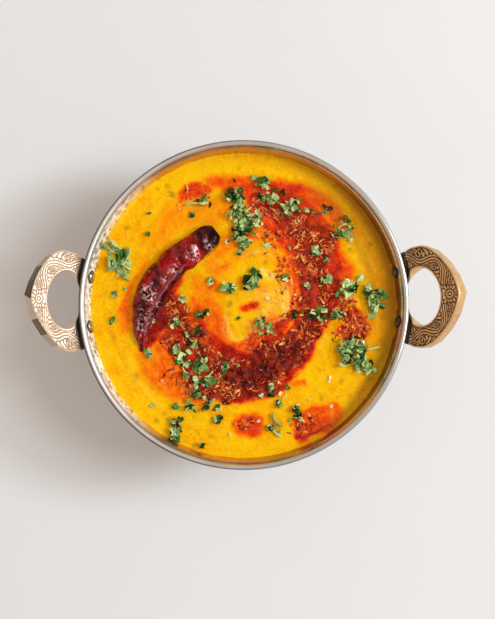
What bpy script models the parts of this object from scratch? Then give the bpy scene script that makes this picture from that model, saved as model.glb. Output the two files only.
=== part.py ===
"""Dal in a small two-handled karahi: a steel bowl with a rolled rim, two cast brass handles held
by rivets, the dal with its spooned swirl, and one whole dried chilli lying in it.

Metres, +Z up. The origin is the centre of the bowl's flat foot, and the handles point along X.
"""

import math
from typing import NamedTuple

import bmesh
import bpy
from mathutils import Matrix, Vector

MM = 0.001
GAP = 0.3 * MM  # clearance between touching pieces

# Bowl
RIM_RADIUS = 83.0 * MM  # outside of the rolled rim
BOWL_HEIGHT = 55.0 * MM
BEAD_RADIUS = 1.35 * MM  # the rolled rim's own section
BEAD_ARC = (math.radians(-60.0), math.radians(205.0))  # from the wall's outside over to its inside
BEAD_STEPS = 9
BEAD_TUCK = 0.75 * BEAD_RADIUS  # the wall joins the bead this far below its middle
SHEET = 1.2 * MM
FOOT_RADIUS = 44.0 * MM
FOOT_FILLET = 9.0 * MM
FILLET_STEPS = 4
RIM_SLOPE = math.radians(17.4)  # of the wall at the rim, from the vertical
WALL_STEPS = 6
BOWL_SEGMENTS = 64

# Dal
DAL_DEPTH = 8.0 * MM  # surface below the top of the rim
DAL_LEVEL = BOWL_HEIGHT - DAL_DEPTH
SWIRL_CENTRE = Vector((5.0, 4.0)) * MM
CHANNEL_RADIUS = 41.0 * MM  # the spooned channel that holds the tempering
CHANNEL_WIDTH = 9.0 * MM
CHANNEL_DEPTH = 0.9 * MM
CHANNEL_SWAY = 4.0 * MM  # how far the channel is out of round
CHANNEL_BEARING = 0.6  # radians, turns the widest side of the channel to the back left
MOUND_RADIUS = 22.5 * MM
MOUND_HEIGHT = 0.9 * MM
DAL_RINGS = 12

# Chilli: a cubic curve from the stem end to the tip, in the plane of the dal
CHILLI_SPINE = [Vector(p) * MM for p in ((-14.4, 37.2), (-39.8, 17.6), (-54.6, 9.4), (-51.8, -23.4))]
CHILLI_HALF_WIDTH = 7.4 * MM
CHILLI_FATTEST = 0.45  # share of the length, from the stem end
CHILLI_BLUNT = 0.2  # of the half width lost at the stem end, over the first CHILLI_SHOULDER
CHILLI_SHOULDER = 0.15
CHILLI_TAPER = 0.97  # of the half width lost at the tip
CHILLI_TAPER_POWER = 2.9
CHILLI_DENT = 0.06  # of the half width: shallow waves along the sides
CHILLI_WAVES = 29.0  # radians of waves along the length
CHILLI_CAP = 1.0 * MM  # how far each end is drawn out
CHILLI_FLATNESS = 0.72
CHILLI_RISE = 1.2 * MM  # of its middle line above the dal at the stem end
CHILLI_SINK = 0.5  # share of that rise lost by the tip
CHILLI_STATIONS = 20
CHILLI_SIDES = 14

# Handles. Distances out are from the bowl's axis, in plan.
HANDLE_THICKNESS = 7.0 * MM
NECK_DROP = 7.0 * MM  # middle of the neck below the top of the rim
BEND_START = 83.0 * MM
BEND_LENGTH = 4.0 * MM
ARCH_WIDEST = 91.3 * MM
ARCH_INWARD = 24.0 * MM  # the arch's oval goes on this far from its widest place towards the bowl
ARCH_HALF_WIDTH = 25.7 * MM
ARCH_FULLNESS = 1.54  # 2 is an ellipse, less is more pointed
GAP_WIDEST = 90.5 * MM
GAP_REACH = 8.9 * MM
GAP_INWARD = 7.8 * MM
GAP_HALF_WIDTH = 14.6 * MM
APEX_POINT = 0.3 * MM  # how far the filed side's point stands out
EDGE_BEVEL = 0.6 * MM
FACET_CORNERS = [math.radians(a) for a in (0, 28, 47, 66, 90, 125, 180)]  # filed on the outer side
FACET_STEPS = (3, 2, 2, 3, 3, 2)


class Grip(NamedTuple):
    """How one hand-fitted handle sits: each is a little crooked in its own way."""

    side: float  # of the bowl, +1 or -1 along X
    reach: float  # from the arch's widest place out to its edge
    lean: float  # of its middle off the X axis
    tilt: float  # of the plate above the level
    twist: float  # about its own middle, the front side up
    skew: float  # how far the back is drawn outwards, per unit of width
    apex_shift: float  # of the grip's point off its middle, towards the back
    gap_shift: float  # of the finger gap off its middle, towards the back


HANDLES = {
    "handle_right": Grip(
        side=1.0, reach=16.3 * MM, lean=math.radians(2.3), tilt=math.radians(42.0),
        twist=math.radians(1.7), skew=0.02, apex_shift=1.0 * MM, gap_shift=0.0,
    ),
    "handle_left": Grip(
        side=-1.0, reach=15.7 * MM, lean=math.radians(-0.8), tilt=math.radians(35.5),
        twist=math.radians(5.1), skew=0.1, apex_shift=3.0 * MM, gap_shift=0.8 * MM,
    ),
}

# Rivets
RIVET_AZIMUTHS = {
    "rivet_right_back": math.radians(11.9),
    "rivet_right_front": math.radians(-6.4),
    "rivet_left_back": math.radians(169.9),
    "rivet_left_front": math.radians(188.3),
}
RIVET_DROP = 5.2 * MM
SHANK_RADIUS = 1.5 * MM
SHANK_BITE = 2.2 * MM  # into the handle's bar
HEAD_RADIUS = 2.6 * MM
HEAD_HEIGHT = 1.2 * MM
HEAD_STEPS = 5
BORE_START = 4.0 * MM  # the bores are cut from this far inside the wall
RIVET_SEGMENTS = 14


def clear_scene():
    for old in list(bpy.data.objects):
        bpy.data.objects.remove(old)


def make_material(name, colour, roughness, metallic=0.0):
    material = bpy.data.materials.new(name)
    material.use_nodes = True
    shader = material.node_tree.nodes["Principled BSDF"]
    shader.inputs["Base Color"].default_value = (*colour, 1.0)
    shader.inputs["Roughness"].default_value = roughness
    shader.inputs["Metallic"].default_value = metallic
    return material


def add_object(name, bm, material=None, place=None):
    """The bmesh as a smooth-shaded object of that name, its faces outward, at the origin or at a place."""
    bmesh.ops.recalc_face_normals(bm, faces=bm.faces)
    mesh = bpy.data.meshes.new(name)
    bm.to_mesh(mesh)
    bm.free()
    mesh.shade_smooth()
    mesh.set_sharp_from_angle(angle=math.radians(35.0))
    obj = bpy.data.objects.new(name, mesh)
    bpy.context.scene.collection.objects.link(obj)
    if material:
        mesh.materials.append(material)
    if place:
        obj.matrix_world = place
    return obj


def as_cutter(obj):
    obj.hide_render = True
    obj.display_type = "WIRE"
    return obj


def cut(obj, cutter):
    modifier = obj.modifiers.new("cut_" + cutter.name, "BOOLEAN")
    modifier.operation = "DIFFERENCE"
    modifier.solver = "EXACT"
    modifier.object = cutter


def turned(profile, segments):
    """A bmesh of the profile, a list of (radius, height), turned about Z and welded at its poles."""
    bm = bmesh.new()
    verts = [bm.verts.new((radius, 0.0, height)) for radius, height in profile]
    edges = [bm.edges.new(pair) for pair in zip(verts, verts[1:])]
    bmesh.ops.spin(
        bm, geom=verts + edges, axis=(0, 0, 1), cent=(0, 0, 0),
        angle=math.tau, steps=segments, use_merge=True,
    )
    bmesh.ops.remove_doubles(bm, verts=bm.verts, dist=1e-6)
    return bm


def arc(centre, radius, start, end, steps):
    """Points on a circle in the (radius, height) plane, both ends included."""
    turns = [start + (end - start) * i / steps for i in range(steps + 1)]
    return [(centre[0] + radius * math.cos(t), centre[1] + radius * math.sin(t)) for t in turns]


def wall_arc():
    """Centre, radius and end angles of the circle that the outside of the wall follows.

    It leaves the foot's edge, and reaches the bead with the rim's slope.
    """
    top = (RIM_RADIUS - 1.5 * BEAD_RADIUS, BOWL_HEIGHT - BEAD_RADIUS)
    end = -RIM_SLOPE
    reach = (top[0] - FOOT_RADIUS, top[1])
    chord = math.hypot(*reach)
    start = end - 2.0 * (math.pi / 2 + end - math.atan2(reach[1], reach[0]))
    radius = chord / (2.0 * math.sin((end - start) / 2.0))
    centre = (top[0] - radius * math.cos(end), top[1] - radius * math.sin(end))
    return centre, radius, start, end


def wall_radius(height, inset=0.0):
    """Radius of the wall's outside, moved in by inset along its normal, at a height."""
    centre, radius, _, _ = wall_arc()
    return centre[0] + math.sqrt((radius - inset) ** 2 - (height - centre[1]) ** 2)


def wall_profile(inset, floor, top, steps):
    """The wall's line from the flat floor up to a height, with the foot's fillet, inset along its normal."""
    centre, radius, _, _ = wall_arc()
    radius -= inset
    fillet = FOOT_FILLET - inset
    mid_height = floor + fillet
    mid_radius = centre[0] + math.sqrt((radius - fillet) ** 2 - (mid_height - centre[1]) ** 2)
    meet = math.atan2(mid_height - centre[1], mid_radius - centre[0])
    end = math.asin((top - centre[1]) / radius)
    corner = arc((mid_radius, mid_height), fillet, -math.pi / 2, meet, FILLET_STEPS)
    return [(0.0, floor)] + corner + arc(centre, radius, meet, end, steps)[1:]


def build_bowl(material):
    """Outside wall, rolled bead, inside wall: one closed profile turned about Z."""
    bead_centre = (RIM_RADIUS - BEAD_RADIUS, BOWL_HEIGHT - BEAD_RADIUS)
    under_bead = bead_centre[1] - BEAD_TUCK
    outside = wall_profile(0.0, 0.0, under_bead, WALL_STEPS)
    inside = wall_profile(SHEET, SHEET, under_bead, WALL_STEPS)
    bead = arc(bead_centre, BEAD_RADIUS, *BEAD_ARC, BEAD_STEPS)
    return add_object("bowl", turned(outside + bead + inside[::-1], BOWL_SEGMENTS), material)


def dal_relief(x, y):
    """Height of the dal's surface above its level: a spooned ring channel and a mound inside it."""
    from_centre = math.hypot(x - SWIRL_CENTRE.x, y - SWIRL_CENTRE.y)
    bearing = math.atan2(y - SWIRL_CENTRE.y, x - SWIRL_CENTRE.x)
    ring = CHANNEL_RADIUS + CHANNEL_SWAY * math.sin(bearing - CHANNEL_BEARING)
    channel = math.exp(-(((from_centre - ring) / CHANNEL_WIDTH) ** 2))
    mound = math.exp(-((from_centre / MOUND_RADIUS) ** 2))
    return MOUND_HEIGHT * mound - CHANNEL_DEPTH * channel


def build_dal(material):
    """Fills the bowl up to its level, with a gap to the wall, and is cut round the chilli."""
    inset = SHEET + GAP
    wall = wall_profile(inset, inset, DAL_LEVEL, WALL_STEPS)
    edge = wall[-1][0]
    surface = [(edge * (1.0 - i / DAL_RINGS), DAL_LEVEL) for i in range(1, DAL_RINGS + 1)]
    bm = turned(wall + surface, BOWL_SEGMENTS)
    for vert in bm.verts:
        from_edge = edge - math.hypot(vert.co.x, vert.co.y)
        if vert.co.z > DAL_LEVEL - GAP and from_edge > GAP:
            vert.co.z += dal_relief(vert.co.x, vert.co.y) * min(1.0, from_edge / CHANNEL_WIDTH)
    return add_object("dal", bm, material)


def chilli_place(share):
    """Point on the chilli's middle line and its direction, share running from stem end to tip."""
    a, b, c, d = CHILLI_SPINE
    rest = 1.0 - share
    point = a * rest**3 + 3 * b * rest**2 * share + 3 * c * rest * share**2 + d * share**3
    along = (b - a) * rest**2 + 2 * (c - b) * rest * share + (d - c) * share**2
    return point, along.normalized()


def chilli_half_width(share):
    """Fattest just before the middle, blunt at the stem end and drawn to a point at the tip."""
    blunt = CHILLI_BLUNT * max(0.0, 1.0 - share / CHILLI_SHOULDER) ** 2
    past_fattest = max(0.0, (share - CHILLI_FATTEST) / (1.0 - CHILLI_FATTEST))
    return CHILLI_HALF_WIDTH * (1.0 - blunt - CHILLI_TAPER * past_fattest**CHILLI_TAPER_POWER)


def chilli_bm(offset):
    """The chilli's skin as a closed bmesh, grown outwards by offset."""
    bm = bmesh.new()
    rings = []
    for station in range(CHILLI_STATIONS + 1):
        share = station / CHILLI_STATIONS
        point, along = chilli_place(share)
        half = chilli_half_width(share)
        dent = 1.0 + CHILLI_DENT * math.sin(CHILLI_WAVES * share) * (1.0 - share)
        across = Vector((-along.y, along.x, 0.0))
        rise = CHILLI_RISE * (1.0 - CHILLI_SINK * share)
        middle = Vector((point.x, point.y, DAL_LEVEL + rise))
        ring = bmesh.ops.create_circle(bm, segments=CHILLI_SIDES, radius=1.0)["verts"]
        for vert in ring:
            side, up = vert.co.x, vert.co.y
            vert.co = (
                middle
                + across * side * (half * dent + offset)
                + Vector((0.0, 0.0, up * (half * CHILLI_FLATNESS + offset)))
            )
        rings.append(ring)
    for first, second in zip(rings, rings[1:]):
        for i in range(CHILLI_SIDES):
            j = (i + 1) % CHILLI_SIDES
            bm.faces.new((first[i], first[j], second[j], second[i]))
    for ring, share, sign in ((rings[0], 0.0, -1.0), (rings[-1], 1.0, 1.0)):
        along = chilli_place(share)[1]
        cap = bm.faces.new(ring)
        tip = bmesh.ops.poke(bm, faces=[cap])["verts"][0]
        tip.co += Vector((along.x, along.y, 0.0)) * sign * (CHILLI_CAP + offset)
    return bm


def build_chilli(material):
    return add_object("chilli", chilli_bm(0.0), material)


def oval_point(turn, widest, reach, inward, half_width, fullness):
    """Point of an oval in plan, as (distance out, distance across), pointed by its fullness outwards."""
    cos, sin = math.cos(turn), math.sin(turn)
    if cos < 0.0:
        return widest + inward * cos, half_width * sin
    power = 2.0 / fullness
    return widest + reach * cos**power, half_width * math.copysign(abs(sin) ** power, sin)


def outer_point(turn, grip):
    out, across = oval_point(
        turn, ARCH_WIDEST, grip.reach, ARCH_INWARD, ARCH_HALF_WIDTH, ARCH_FULLNESS
    )
    return out + grip.skew * across, across


def inner_point(turn, grip):
    out, across = oval_point(turn, GAP_WIDEST, GAP_REACH, GAP_INWARD, GAP_HALF_WIDTH, 2.0)
    return out, across + grip.gap_shift


def between(first, second, share):
    return tuple(a + (b - a) * share for a, b in zip(first, second))


def facet_corner(turn, grip):
    """A corner between two filed facets, the one at turn 0 being the grip's point."""
    out, across = outer_point(turn, grip)
    return (out + APEX_POINT, across + grip.apex_shift) if turn == 0.0 else (out, across)


def bent(point, up, grip):
    """Bends the flat plan upwards beyond the rim: a level neck, then the plate at its tilt and twist."""
    out, across = point
    reach = max(0.0, out - BEND_START)
    tilt = grip.tilt * min(1.0, reach / BEND_LENGTH)
    twist = grip.twist * min(1.0, reach / (4.0 * BEND_LENGTH))
    if reach > BEND_LENGTH:
        rise = math.tan(grip.tilt) * (reach - BEND_LENGTH / 2.0)
    else:
        rise = math.tan(grip.tilt) * reach**2 / (2.0 * BEND_LENGTH)
    height = BOWL_HEIGHT - NECK_DROP + rise - across * math.tan(twist)
    return Vector((
        out - up * math.sin(tilt),
        across + up * math.sin(twist),
        height + up * math.cos(tilt),
    ))


def handle_section(first, second, share, grip):
    """The plate's section at a place between two facet corners, as points in order round it."""
    turn = first + (second - first) * share
    inner, face = inner_point(turn, grip), outer_point(turn, grip)
    filed = between(facet_corner(first, grip), facet_corner(second, grip), share)
    bevel = EDGE_BEVEL / math.dist(face, inner)
    half = HANDLE_THICKNESS / 2.0
    corners = (
        (inner, -half),
        (inner, half - EDGE_BEVEL),
        (between(inner, face, bevel), half),
        (between(inner, face, 1.0 - bevel), half),
        (face, half - EDGE_BEVEL),
        (filed, -half),
    )
    return [bent(point, up, grip) for point, up in corners]


def build_handle(name, material):
    """A ring-shaped casting whose bar lies along the wall and whose grip is tilted up and outwards."""
    grip = HANDLES[name]
    sections = []
    for sign in (1.0, -1.0):
        half = []
        for first, second, steps in zip(FACET_CORNERS, FACET_CORNERS[1:], FACET_STEPS):
            for step in range(steps):
                half.append(handle_section(sign * first, sign * second, step / steps, grip))
        half.append(handle_section(math.pi, math.pi, 0.0, grip))
        sections += half if sign > 0 else half[-2:0:-1]
    bm = bmesh.new()
    rings = [[bm.verts.new(point) for point in section] for section in sections]
    for first, second in zip(rings, rings[1:] + rings[:1]):
        for i, j in zip(range(len(first)), [*range(1, len(first)), 0]):
            bm.faces.new((first[i], second[i], second[j], first[j]))
    bm.transform(Matrix.Rotation(grip.lean, 4, "Z") @ Matrix.Diagonal((grip.side, 1.0, 1.0, 1.0)))
    return add_object(name, bm, material)


def rivet_place(azimuth):
    """Turns a piece made about Z onto a rivet's place, +Z pointing out of the bowl."""
    height = BOWL_HEIGHT - RIVET_DROP
    centre, radius, _, _ = wall_arc()
    slope = math.asin((centre[1] - height) / radius)
    place = Vector((wall_radius(height, SHEET), 0.0, height))
    return (
        Matrix.Rotation(azimuth, 4, "Z")
        @ Matrix.Translation(place)
        @ Matrix.Rotation(math.pi / 2 + slope, 4, "Y")
    )


def rivet_bm():
    """A domed head inside the wall and a shank through it, turned about Z."""
    head = arc((0.0, 0.0), 1.0, 0.0, math.pi / 2, HEAD_STEPS)
    profile = [(0.0, SHEET + SHANK_BITE), (SHANK_RADIUS, SHEET + SHANK_BITE), (SHANK_RADIUS, -GAP)]
    profile += [(HEAD_RADIUS * across, -GAP - HEAD_HEIGHT * up) for across, up in head]
    return turned(profile, RIVET_SEGMENTS)


def bore_bm():
    """The bore for a shank, with the gap all round it."""
    radius = SHANK_RADIUS + GAP
    end = SHEET + SHANK_BITE + GAP
    profile = [(0.0, end), (radius, end), (radius, -BORE_START), (0.0, -BORE_START)]
    return turned(profile, RIVET_SEGMENTS)


def build_rivets(bowl, handles, material):
    """Two rivets hold each handle: their heads show inside the bowl, their shanks end in its bar."""
    for name, azimuth in RIVET_AZIMUTHS.items():
        place = rivet_place(azimuth)
        add_object(name, rivet_bm(), material, place)
        cutter = as_cutter(add_object("bore_" + name, bore_bm(), place=place))
        cut(bowl, cutter)
        cut(handles["handle_right" if "right" in name else "handle_left"], cutter)


def bowl_envelope():
    """The space inside the bowl's outer skin, grown by the gap, which the handles' bars lie against."""
    skin = wall_profile(-GAP, -GAP, BOWL_HEIGHT - 2.0 * BEAD_RADIUS, WALL_STEPS)
    return as_cutter(add_object("envelope", turned(skin + [(0.0, skin[-1][1])], BOWL_SEGMENTS)))


def main():
    clear_scene()
    steel = make_material("steel", (0.62, 0.60, 0.58), 0.25, 1.0)
    brass = make_material("brass", (0.66, 0.48, 0.31), 0.35, 1.0)
    rivet_steel = make_material("rivet", (0.60, 0.58, 0.55), 0.2, 1.0)
    dal_colour = make_material("dal", (0.90, 0.50, 0.02), 0.3)
    chilli_colour = make_material("chilli", (0.20, 0.01, 0.01), 0.2)

    bowl = build_bowl(steel)
    envelope = bowl_envelope()
    handles = {name: build_handle(name, brass) for name in HANDLES}
    for handle in handles.values():
        cut(handle, envelope)
    build_rivets(bowl, handles, rivet_steel)

    build_chilli(chilli_colour)
    dal = build_dal(dal_colour)
    cut(dal, as_cutter(add_object("chilli_bed", chilli_bm(GAP))))


main()
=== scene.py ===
"""Dal in a small steel karahi with cast brass handles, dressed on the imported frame.

Metres, +Z up. The origin is the centre of the bowl's foot, and the handles lie along X.
"""

import logging
import math
from dataclasses import dataclass, field
from enum import Enum
from functools import partial, reduce
from typing import Any, Callable, Sequence

import bmesh
import bpy
import numpy as np
from mathutils import Matrix, Vector


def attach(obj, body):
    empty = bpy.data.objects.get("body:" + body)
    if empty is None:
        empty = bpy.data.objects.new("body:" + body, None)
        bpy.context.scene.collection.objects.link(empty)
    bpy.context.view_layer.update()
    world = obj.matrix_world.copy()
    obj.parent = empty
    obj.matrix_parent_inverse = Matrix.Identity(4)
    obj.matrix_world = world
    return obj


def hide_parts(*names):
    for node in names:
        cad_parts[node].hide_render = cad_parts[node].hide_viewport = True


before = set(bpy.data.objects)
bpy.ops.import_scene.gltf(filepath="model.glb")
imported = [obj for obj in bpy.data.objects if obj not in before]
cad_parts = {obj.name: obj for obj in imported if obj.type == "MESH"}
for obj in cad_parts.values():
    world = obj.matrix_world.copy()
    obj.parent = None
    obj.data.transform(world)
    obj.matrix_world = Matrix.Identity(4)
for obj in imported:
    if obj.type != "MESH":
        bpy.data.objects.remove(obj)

LOG = logging.getLogger("karahi")
MM = 0.001
BODY = "root"
WELD = 0.002 * MM

Pair = tuple[float, float]
Triple = tuple[float, float, float]
Colour = Triple
Array = np.ndarray
Line = list[Pair]
Mesh = bmesh.types.BMesh
Piece = bpy.types.Object
Socket = bpy.types.NodeSocket
Material = bpy.types.Material
Dice = np.random.Generator


# ---------------------------------------------------------------- small tools


def srgb(*channels: float) -> Colour:
    """The scene's linear colour for a screen colour's red, green and blue, 0 to 255."""
    shares = [channel / 255.0 for channel in channels]
    return tuple(s / 12.92 if s <= 0.04045 else ((s + 0.055) / 1.055) ** 2.4 for s in shares)


def smooth_step(values: Array) -> Array:
    """Values clipped to 0..1 and eased at both ends."""
    clipped = np.clip(values, 0.0, 1.0)
    return clipped * clipped * (3.0 - 2.0 * clipped)


def bell(offset: Array, spread: float) -> Array:
    """A soft bump, 1 where the offset is 0 and nearly gone at twice the spread."""
    return np.exp(-((offset / spread) ** 2))


class Lumps:
    """A soft random height field over the plane, the same on every run."""

    CELLS = 128
    NEXT_LAYER = (17.3, 5.1)

    def __init__(self, seed: int) -> None:
        """Fills the lattice from the seed."""
        self.lattice = np.random.default_rng(seed).random((self.CELLS, self.CELLS)) * 2.0 - 1.0

    def at(self, x: Array, y: Array, size: float, octaves: int = 1) -> Array:
        """Height of the field at some points.

        Args:
            x: First coordinates.
            y: Second coordinates.
            size: Width of the largest lumps, in the same unit.
            octaves: How many finer layers are added, each half the size and strength.

        Returns:
            Heights of about -1 to 1.
        """
        total, strength, reach = np.zeros_like(x, dtype=float), 1.0, 0.0
        for octave in range(octaves):
            step = size / 2.0**octave
            across = x / step + self.NEXT_LAYER[0] * octave
            up = y / step + self.NEXT_LAYER[1] * octave
            column, row = np.floor(across).astype(int), np.floor(up).astype(int)
            ease_x, ease_y = smooth_step(across - column), smooth_step(up - row)
            corner = [
                self.lattice[(column + i) % self.CELLS, (row + j) % self.CELLS]
                for i, j in ((0, 0), (1, 0), (0, 1), (1, 1))
            ]
            low = corner[0] * (1.0 - ease_x) + corner[1] * ease_x
            high = corner[2] * (1.0 - ease_x) + corner[3] * ease_x
            total += strength * (low * (1.0 - ease_y) + high * ease_y)
            reach += strength
            strength *= 0.5
        return total / reach


def nearest_on_line(x: Array, y: Array, line: Array) -> tuple[Array, Array]:
    """Distance from each point to an open line, and where along it the nearest place is.

    Args:
        x: First coordinates of the points.
        y: Second coordinates of the points.
        line: The line's corners, two or more rows of two values each.

    Returns:
        The distances, and the places as a count of corners passed plus a share.
    """
    best, place = np.full(x.shape, np.inf), np.zeros(x.shape)
    for index, (start, end) in enumerate(zip(line[:-1], line[1:])):
        run = end - start
        share = ((x - start[0]) * run[0] + (y - start[1]) * run[1]) / max(float(run @ run), 1e-18)
        share = np.clip(share, 0.0, 1.0)
        distance = np.hypot(x - start[0] - share * run[0], y - start[1] - share * run[1])
        closer = distance < best
        best, place = np.where(closer, distance, best), np.where(closer, index + share, place)
    return best, place


def curve_through(corners: Sequence[Sequence[float]], steps: int) -> Array:
    """A smooth curve through some corners.

    Args:
        corners: Rows of values; the first two are a place, the others follow along.
        steps: Points for each stretch between two corners.

    Returns:
        The points of the curve, one row each.
    """
    rows = np.array(corners, dtype=float)
    padded = np.vstack([2 * rows[0] - rows[1], rows, 2 * rows[-1] - rows[-2]])
    points = []
    for before, start, end, after in zip(padded, padded[1:], padded[2:], padded[3:]):
        for share in np.arange(steps) / steps:
            bend = (2 * before - 5 * start + 4 * end - after) * share**2
            ease = (3 * start - before - 3 * end + after) * share**3
            points.append(0.5 * (2 * start + (end - before) * share + bend + ease))
    return np.vstack([points, rows[-1]])


def flat_grid(columns: int, rows: int, reach: float = 0.5) -> tuple[Mesh, Array]:
    """A flat square grid that reaches so far from its middle, and its points' places in plan.

    Args:
        columns: Segments along X.
        rows: Segments along Y.
        reach: Distance from the middle to each side.

    Returns:
        The bmesh and its points' places.
    """
    bm = bmesh.new()
    bmesh.ops.create_grid(bm, x_segments=columns, y_segments=rows, size=reach)
    return bm, np.array([vert.co[:2] for vert in bm.verts])


def disc_of(cells: int) -> tuple[Mesh, Array]:
    """A flat grid drawn in to a round disc of radius 1.

    Args:
        cells: Cells along each side.

    Returns:
        The mesh, and its points' places in plan; its own points are still those of the square.
    """
    bm, flat = flat_grid(cells, cells, 1.0)
    return bm, flat * np.sqrt(1.0 - flat[:, ::-1] ** 2 / 2.0)


def move_points(bm: Mesh, *sides: Array) -> None:
    """Moves a mesh's points to new places, given as their x, y and z."""
    for vert, point in zip(bm.verts, np.stack(sides, axis=-1)):
        vert.co = point


def keep_values(bm: Mesh, name: str, values: Array) -> None:
    """Keeps one named value on each of a mesh's points.

    Args:
        bm: The bmesh.
        name: The values' name.
        values: One value for each point.
    """
    layer = bm.verts.layers.float.new(name)
    for vert, value in zip(bm.verts, values):
        vert[layer] = value


def wrapped_sheet(
    across: int,
    along: int,
    place: Callable[[Array, Array], Array],
    masks: dict[str, Callable[[Array, Array], Array]] | None = None,
) -> Mesh:
    """A grid laid onto a shape, with its seams welded.

    Args:
        across: Cells in the first direction.
        along: Cells in the second direction.
        place: Gives the points for shares 0..1 in the two directions.
        masks: Named values to keep on the points, worked out from the same shares.

    Returns:
        The welded mesh.
    """
    bm, flat = flat_grid(across, along)
    shares = (flat + 0.5).T
    for name, worked_out in (masks or {}).items():
        keep_values(bm, name, worked_out(*shares))
    move_points(bm, *place(*shares).T)
    bmesh.ops.remove_doubles(bm, verts=bm.verts, dist=WELD)
    return bm


def arc(middle: Pair, radius: float, turns: Array) -> Line:
    """The points round a middle at some turns."""
    return [(middle[0] + radius * math.cos(turn), middle[1] + radius * math.sin(turn)) for turn in turns]


def turned(section: Line, segments: int) -> Mesh:
    """A section turned about the Z axis and closed at its poles.

    Args:
        section: Points as (radius, height).
        segments: Steps round the axis.

    Returns:
        The closed mesh, its faces outwards.
    """
    bm = bmesh.new()
    verts = [bm.verts.new((radius, 0.0, height)) for radius, height in section]
    geom = verts + [bm.edges.new(pair) for pair in zip(verts, verts[1:])]
    round_z = {"axis": (0, 0, 1), "cent": (0, 0, 0), "angle": math.tau, "steps": segments}
    bmesh.ops.spin(bm, geom=geom, use_merge=True, **round_z)
    bmesh.ops.remove_doubles(bm, verts=bm.verts, dist=WELD)
    face_outwards(bm)
    return bm


def face_outwards(bm: Mesh) -> None:
    """Turns a closed mesh's faces outwards.

    Args:
        bm: The bmesh.
    """
    bmesh.ops.recalc_face_normals(bm, faces=bm.faces)
    if bm.calc_volume(signed=True) < 0.0:
        bmesh.ops.reverse_faces(bm, faces=bm.faces)


def linked(name: str, data: Any) -> Piece:
    """A new object in the scene that shows a mesh, a camera or a light.

    Args:
        name: The object's name.
        data: The mesh, camera or light.

    Returns:
        The new object.
    """
    obj = bpy.data.objects.new(name, data)
    bpy.context.scene.collection.objects.link(obj)
    return obj


def smooth_mesh(mesh: bpy.types.Mesh, sharp: float | None) -> bpy.types.Mesh:
    """Shades a mesh smooth, and keeps edges crisp that are sharper than some degrees.

    Args:
        mesh: The mesh to shade.
        sharp: The angle, or None to keep no edge crisp.

    Returns:
        The same mesh.
    """
    mesh.shade_smooth()
    if sharp is not None:
        mesh.set_sharp_from_angle(angle=math.radians(sharp))
    return mesh


def as_object(name: str, bm: Mesh, sharp: float | None = None) -> Piece:
    """A smooth-shaded object from a bmesh.

    Args:
        name: The object's name.
        bm: The bmesh, which is freed.
        sharp: Edges sharper than this, in degrees, stay crisp.

    Returns:
        The object, linked to the scene.
    """
    mesh = bpy.data.meshes.new(name)
    bm.to_mesh(mesh)
    bm.free()
    return linked(name, smooth_mesh(mesh, sharp))


def cut_by(obj: Piece, cutter: Piece) -> Piece:
    """Takes the cutter's space away from a piece, and removes the cutter.

    Args:
        obj: The piece to cut.
        cutter: The closed body that cuts it.

    Returns:
        The piece, its mesh now the cut one.
    """
    modifier = obj.modifiers.new("cut", "BOOLEAN")
    modifier.operation = "DIFFERENCE"
    modifier.solver = "EXACT"
    modifier.object = cutter
    cut = bpy.data.meshes.new_from_object(obj.evaluated_get(bpy.context.evaluated_depsgraph_get()))
    obj.modifiers.clear()
    obj.data = cut
    bpy.data.objects.remove(cutter)
    return obj


def put_on(obj: Piece, material: Material, nodes: Sequence[str] = ()) -> Piece:
    """Dresses a piece and ties it to the frame.

    Args:
        obj: The piece.
        material: Its finish.
        nodes: The plain solids that it stands for.

    Returns:
        The piece.
    """
    obj.data.materials.clear()
    obj.data.materials.append(material)
    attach(obj, BODY)
    for node in nodes:
        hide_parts(node)
    return obj


# ---------------------------------------------------------------- finishes


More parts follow.
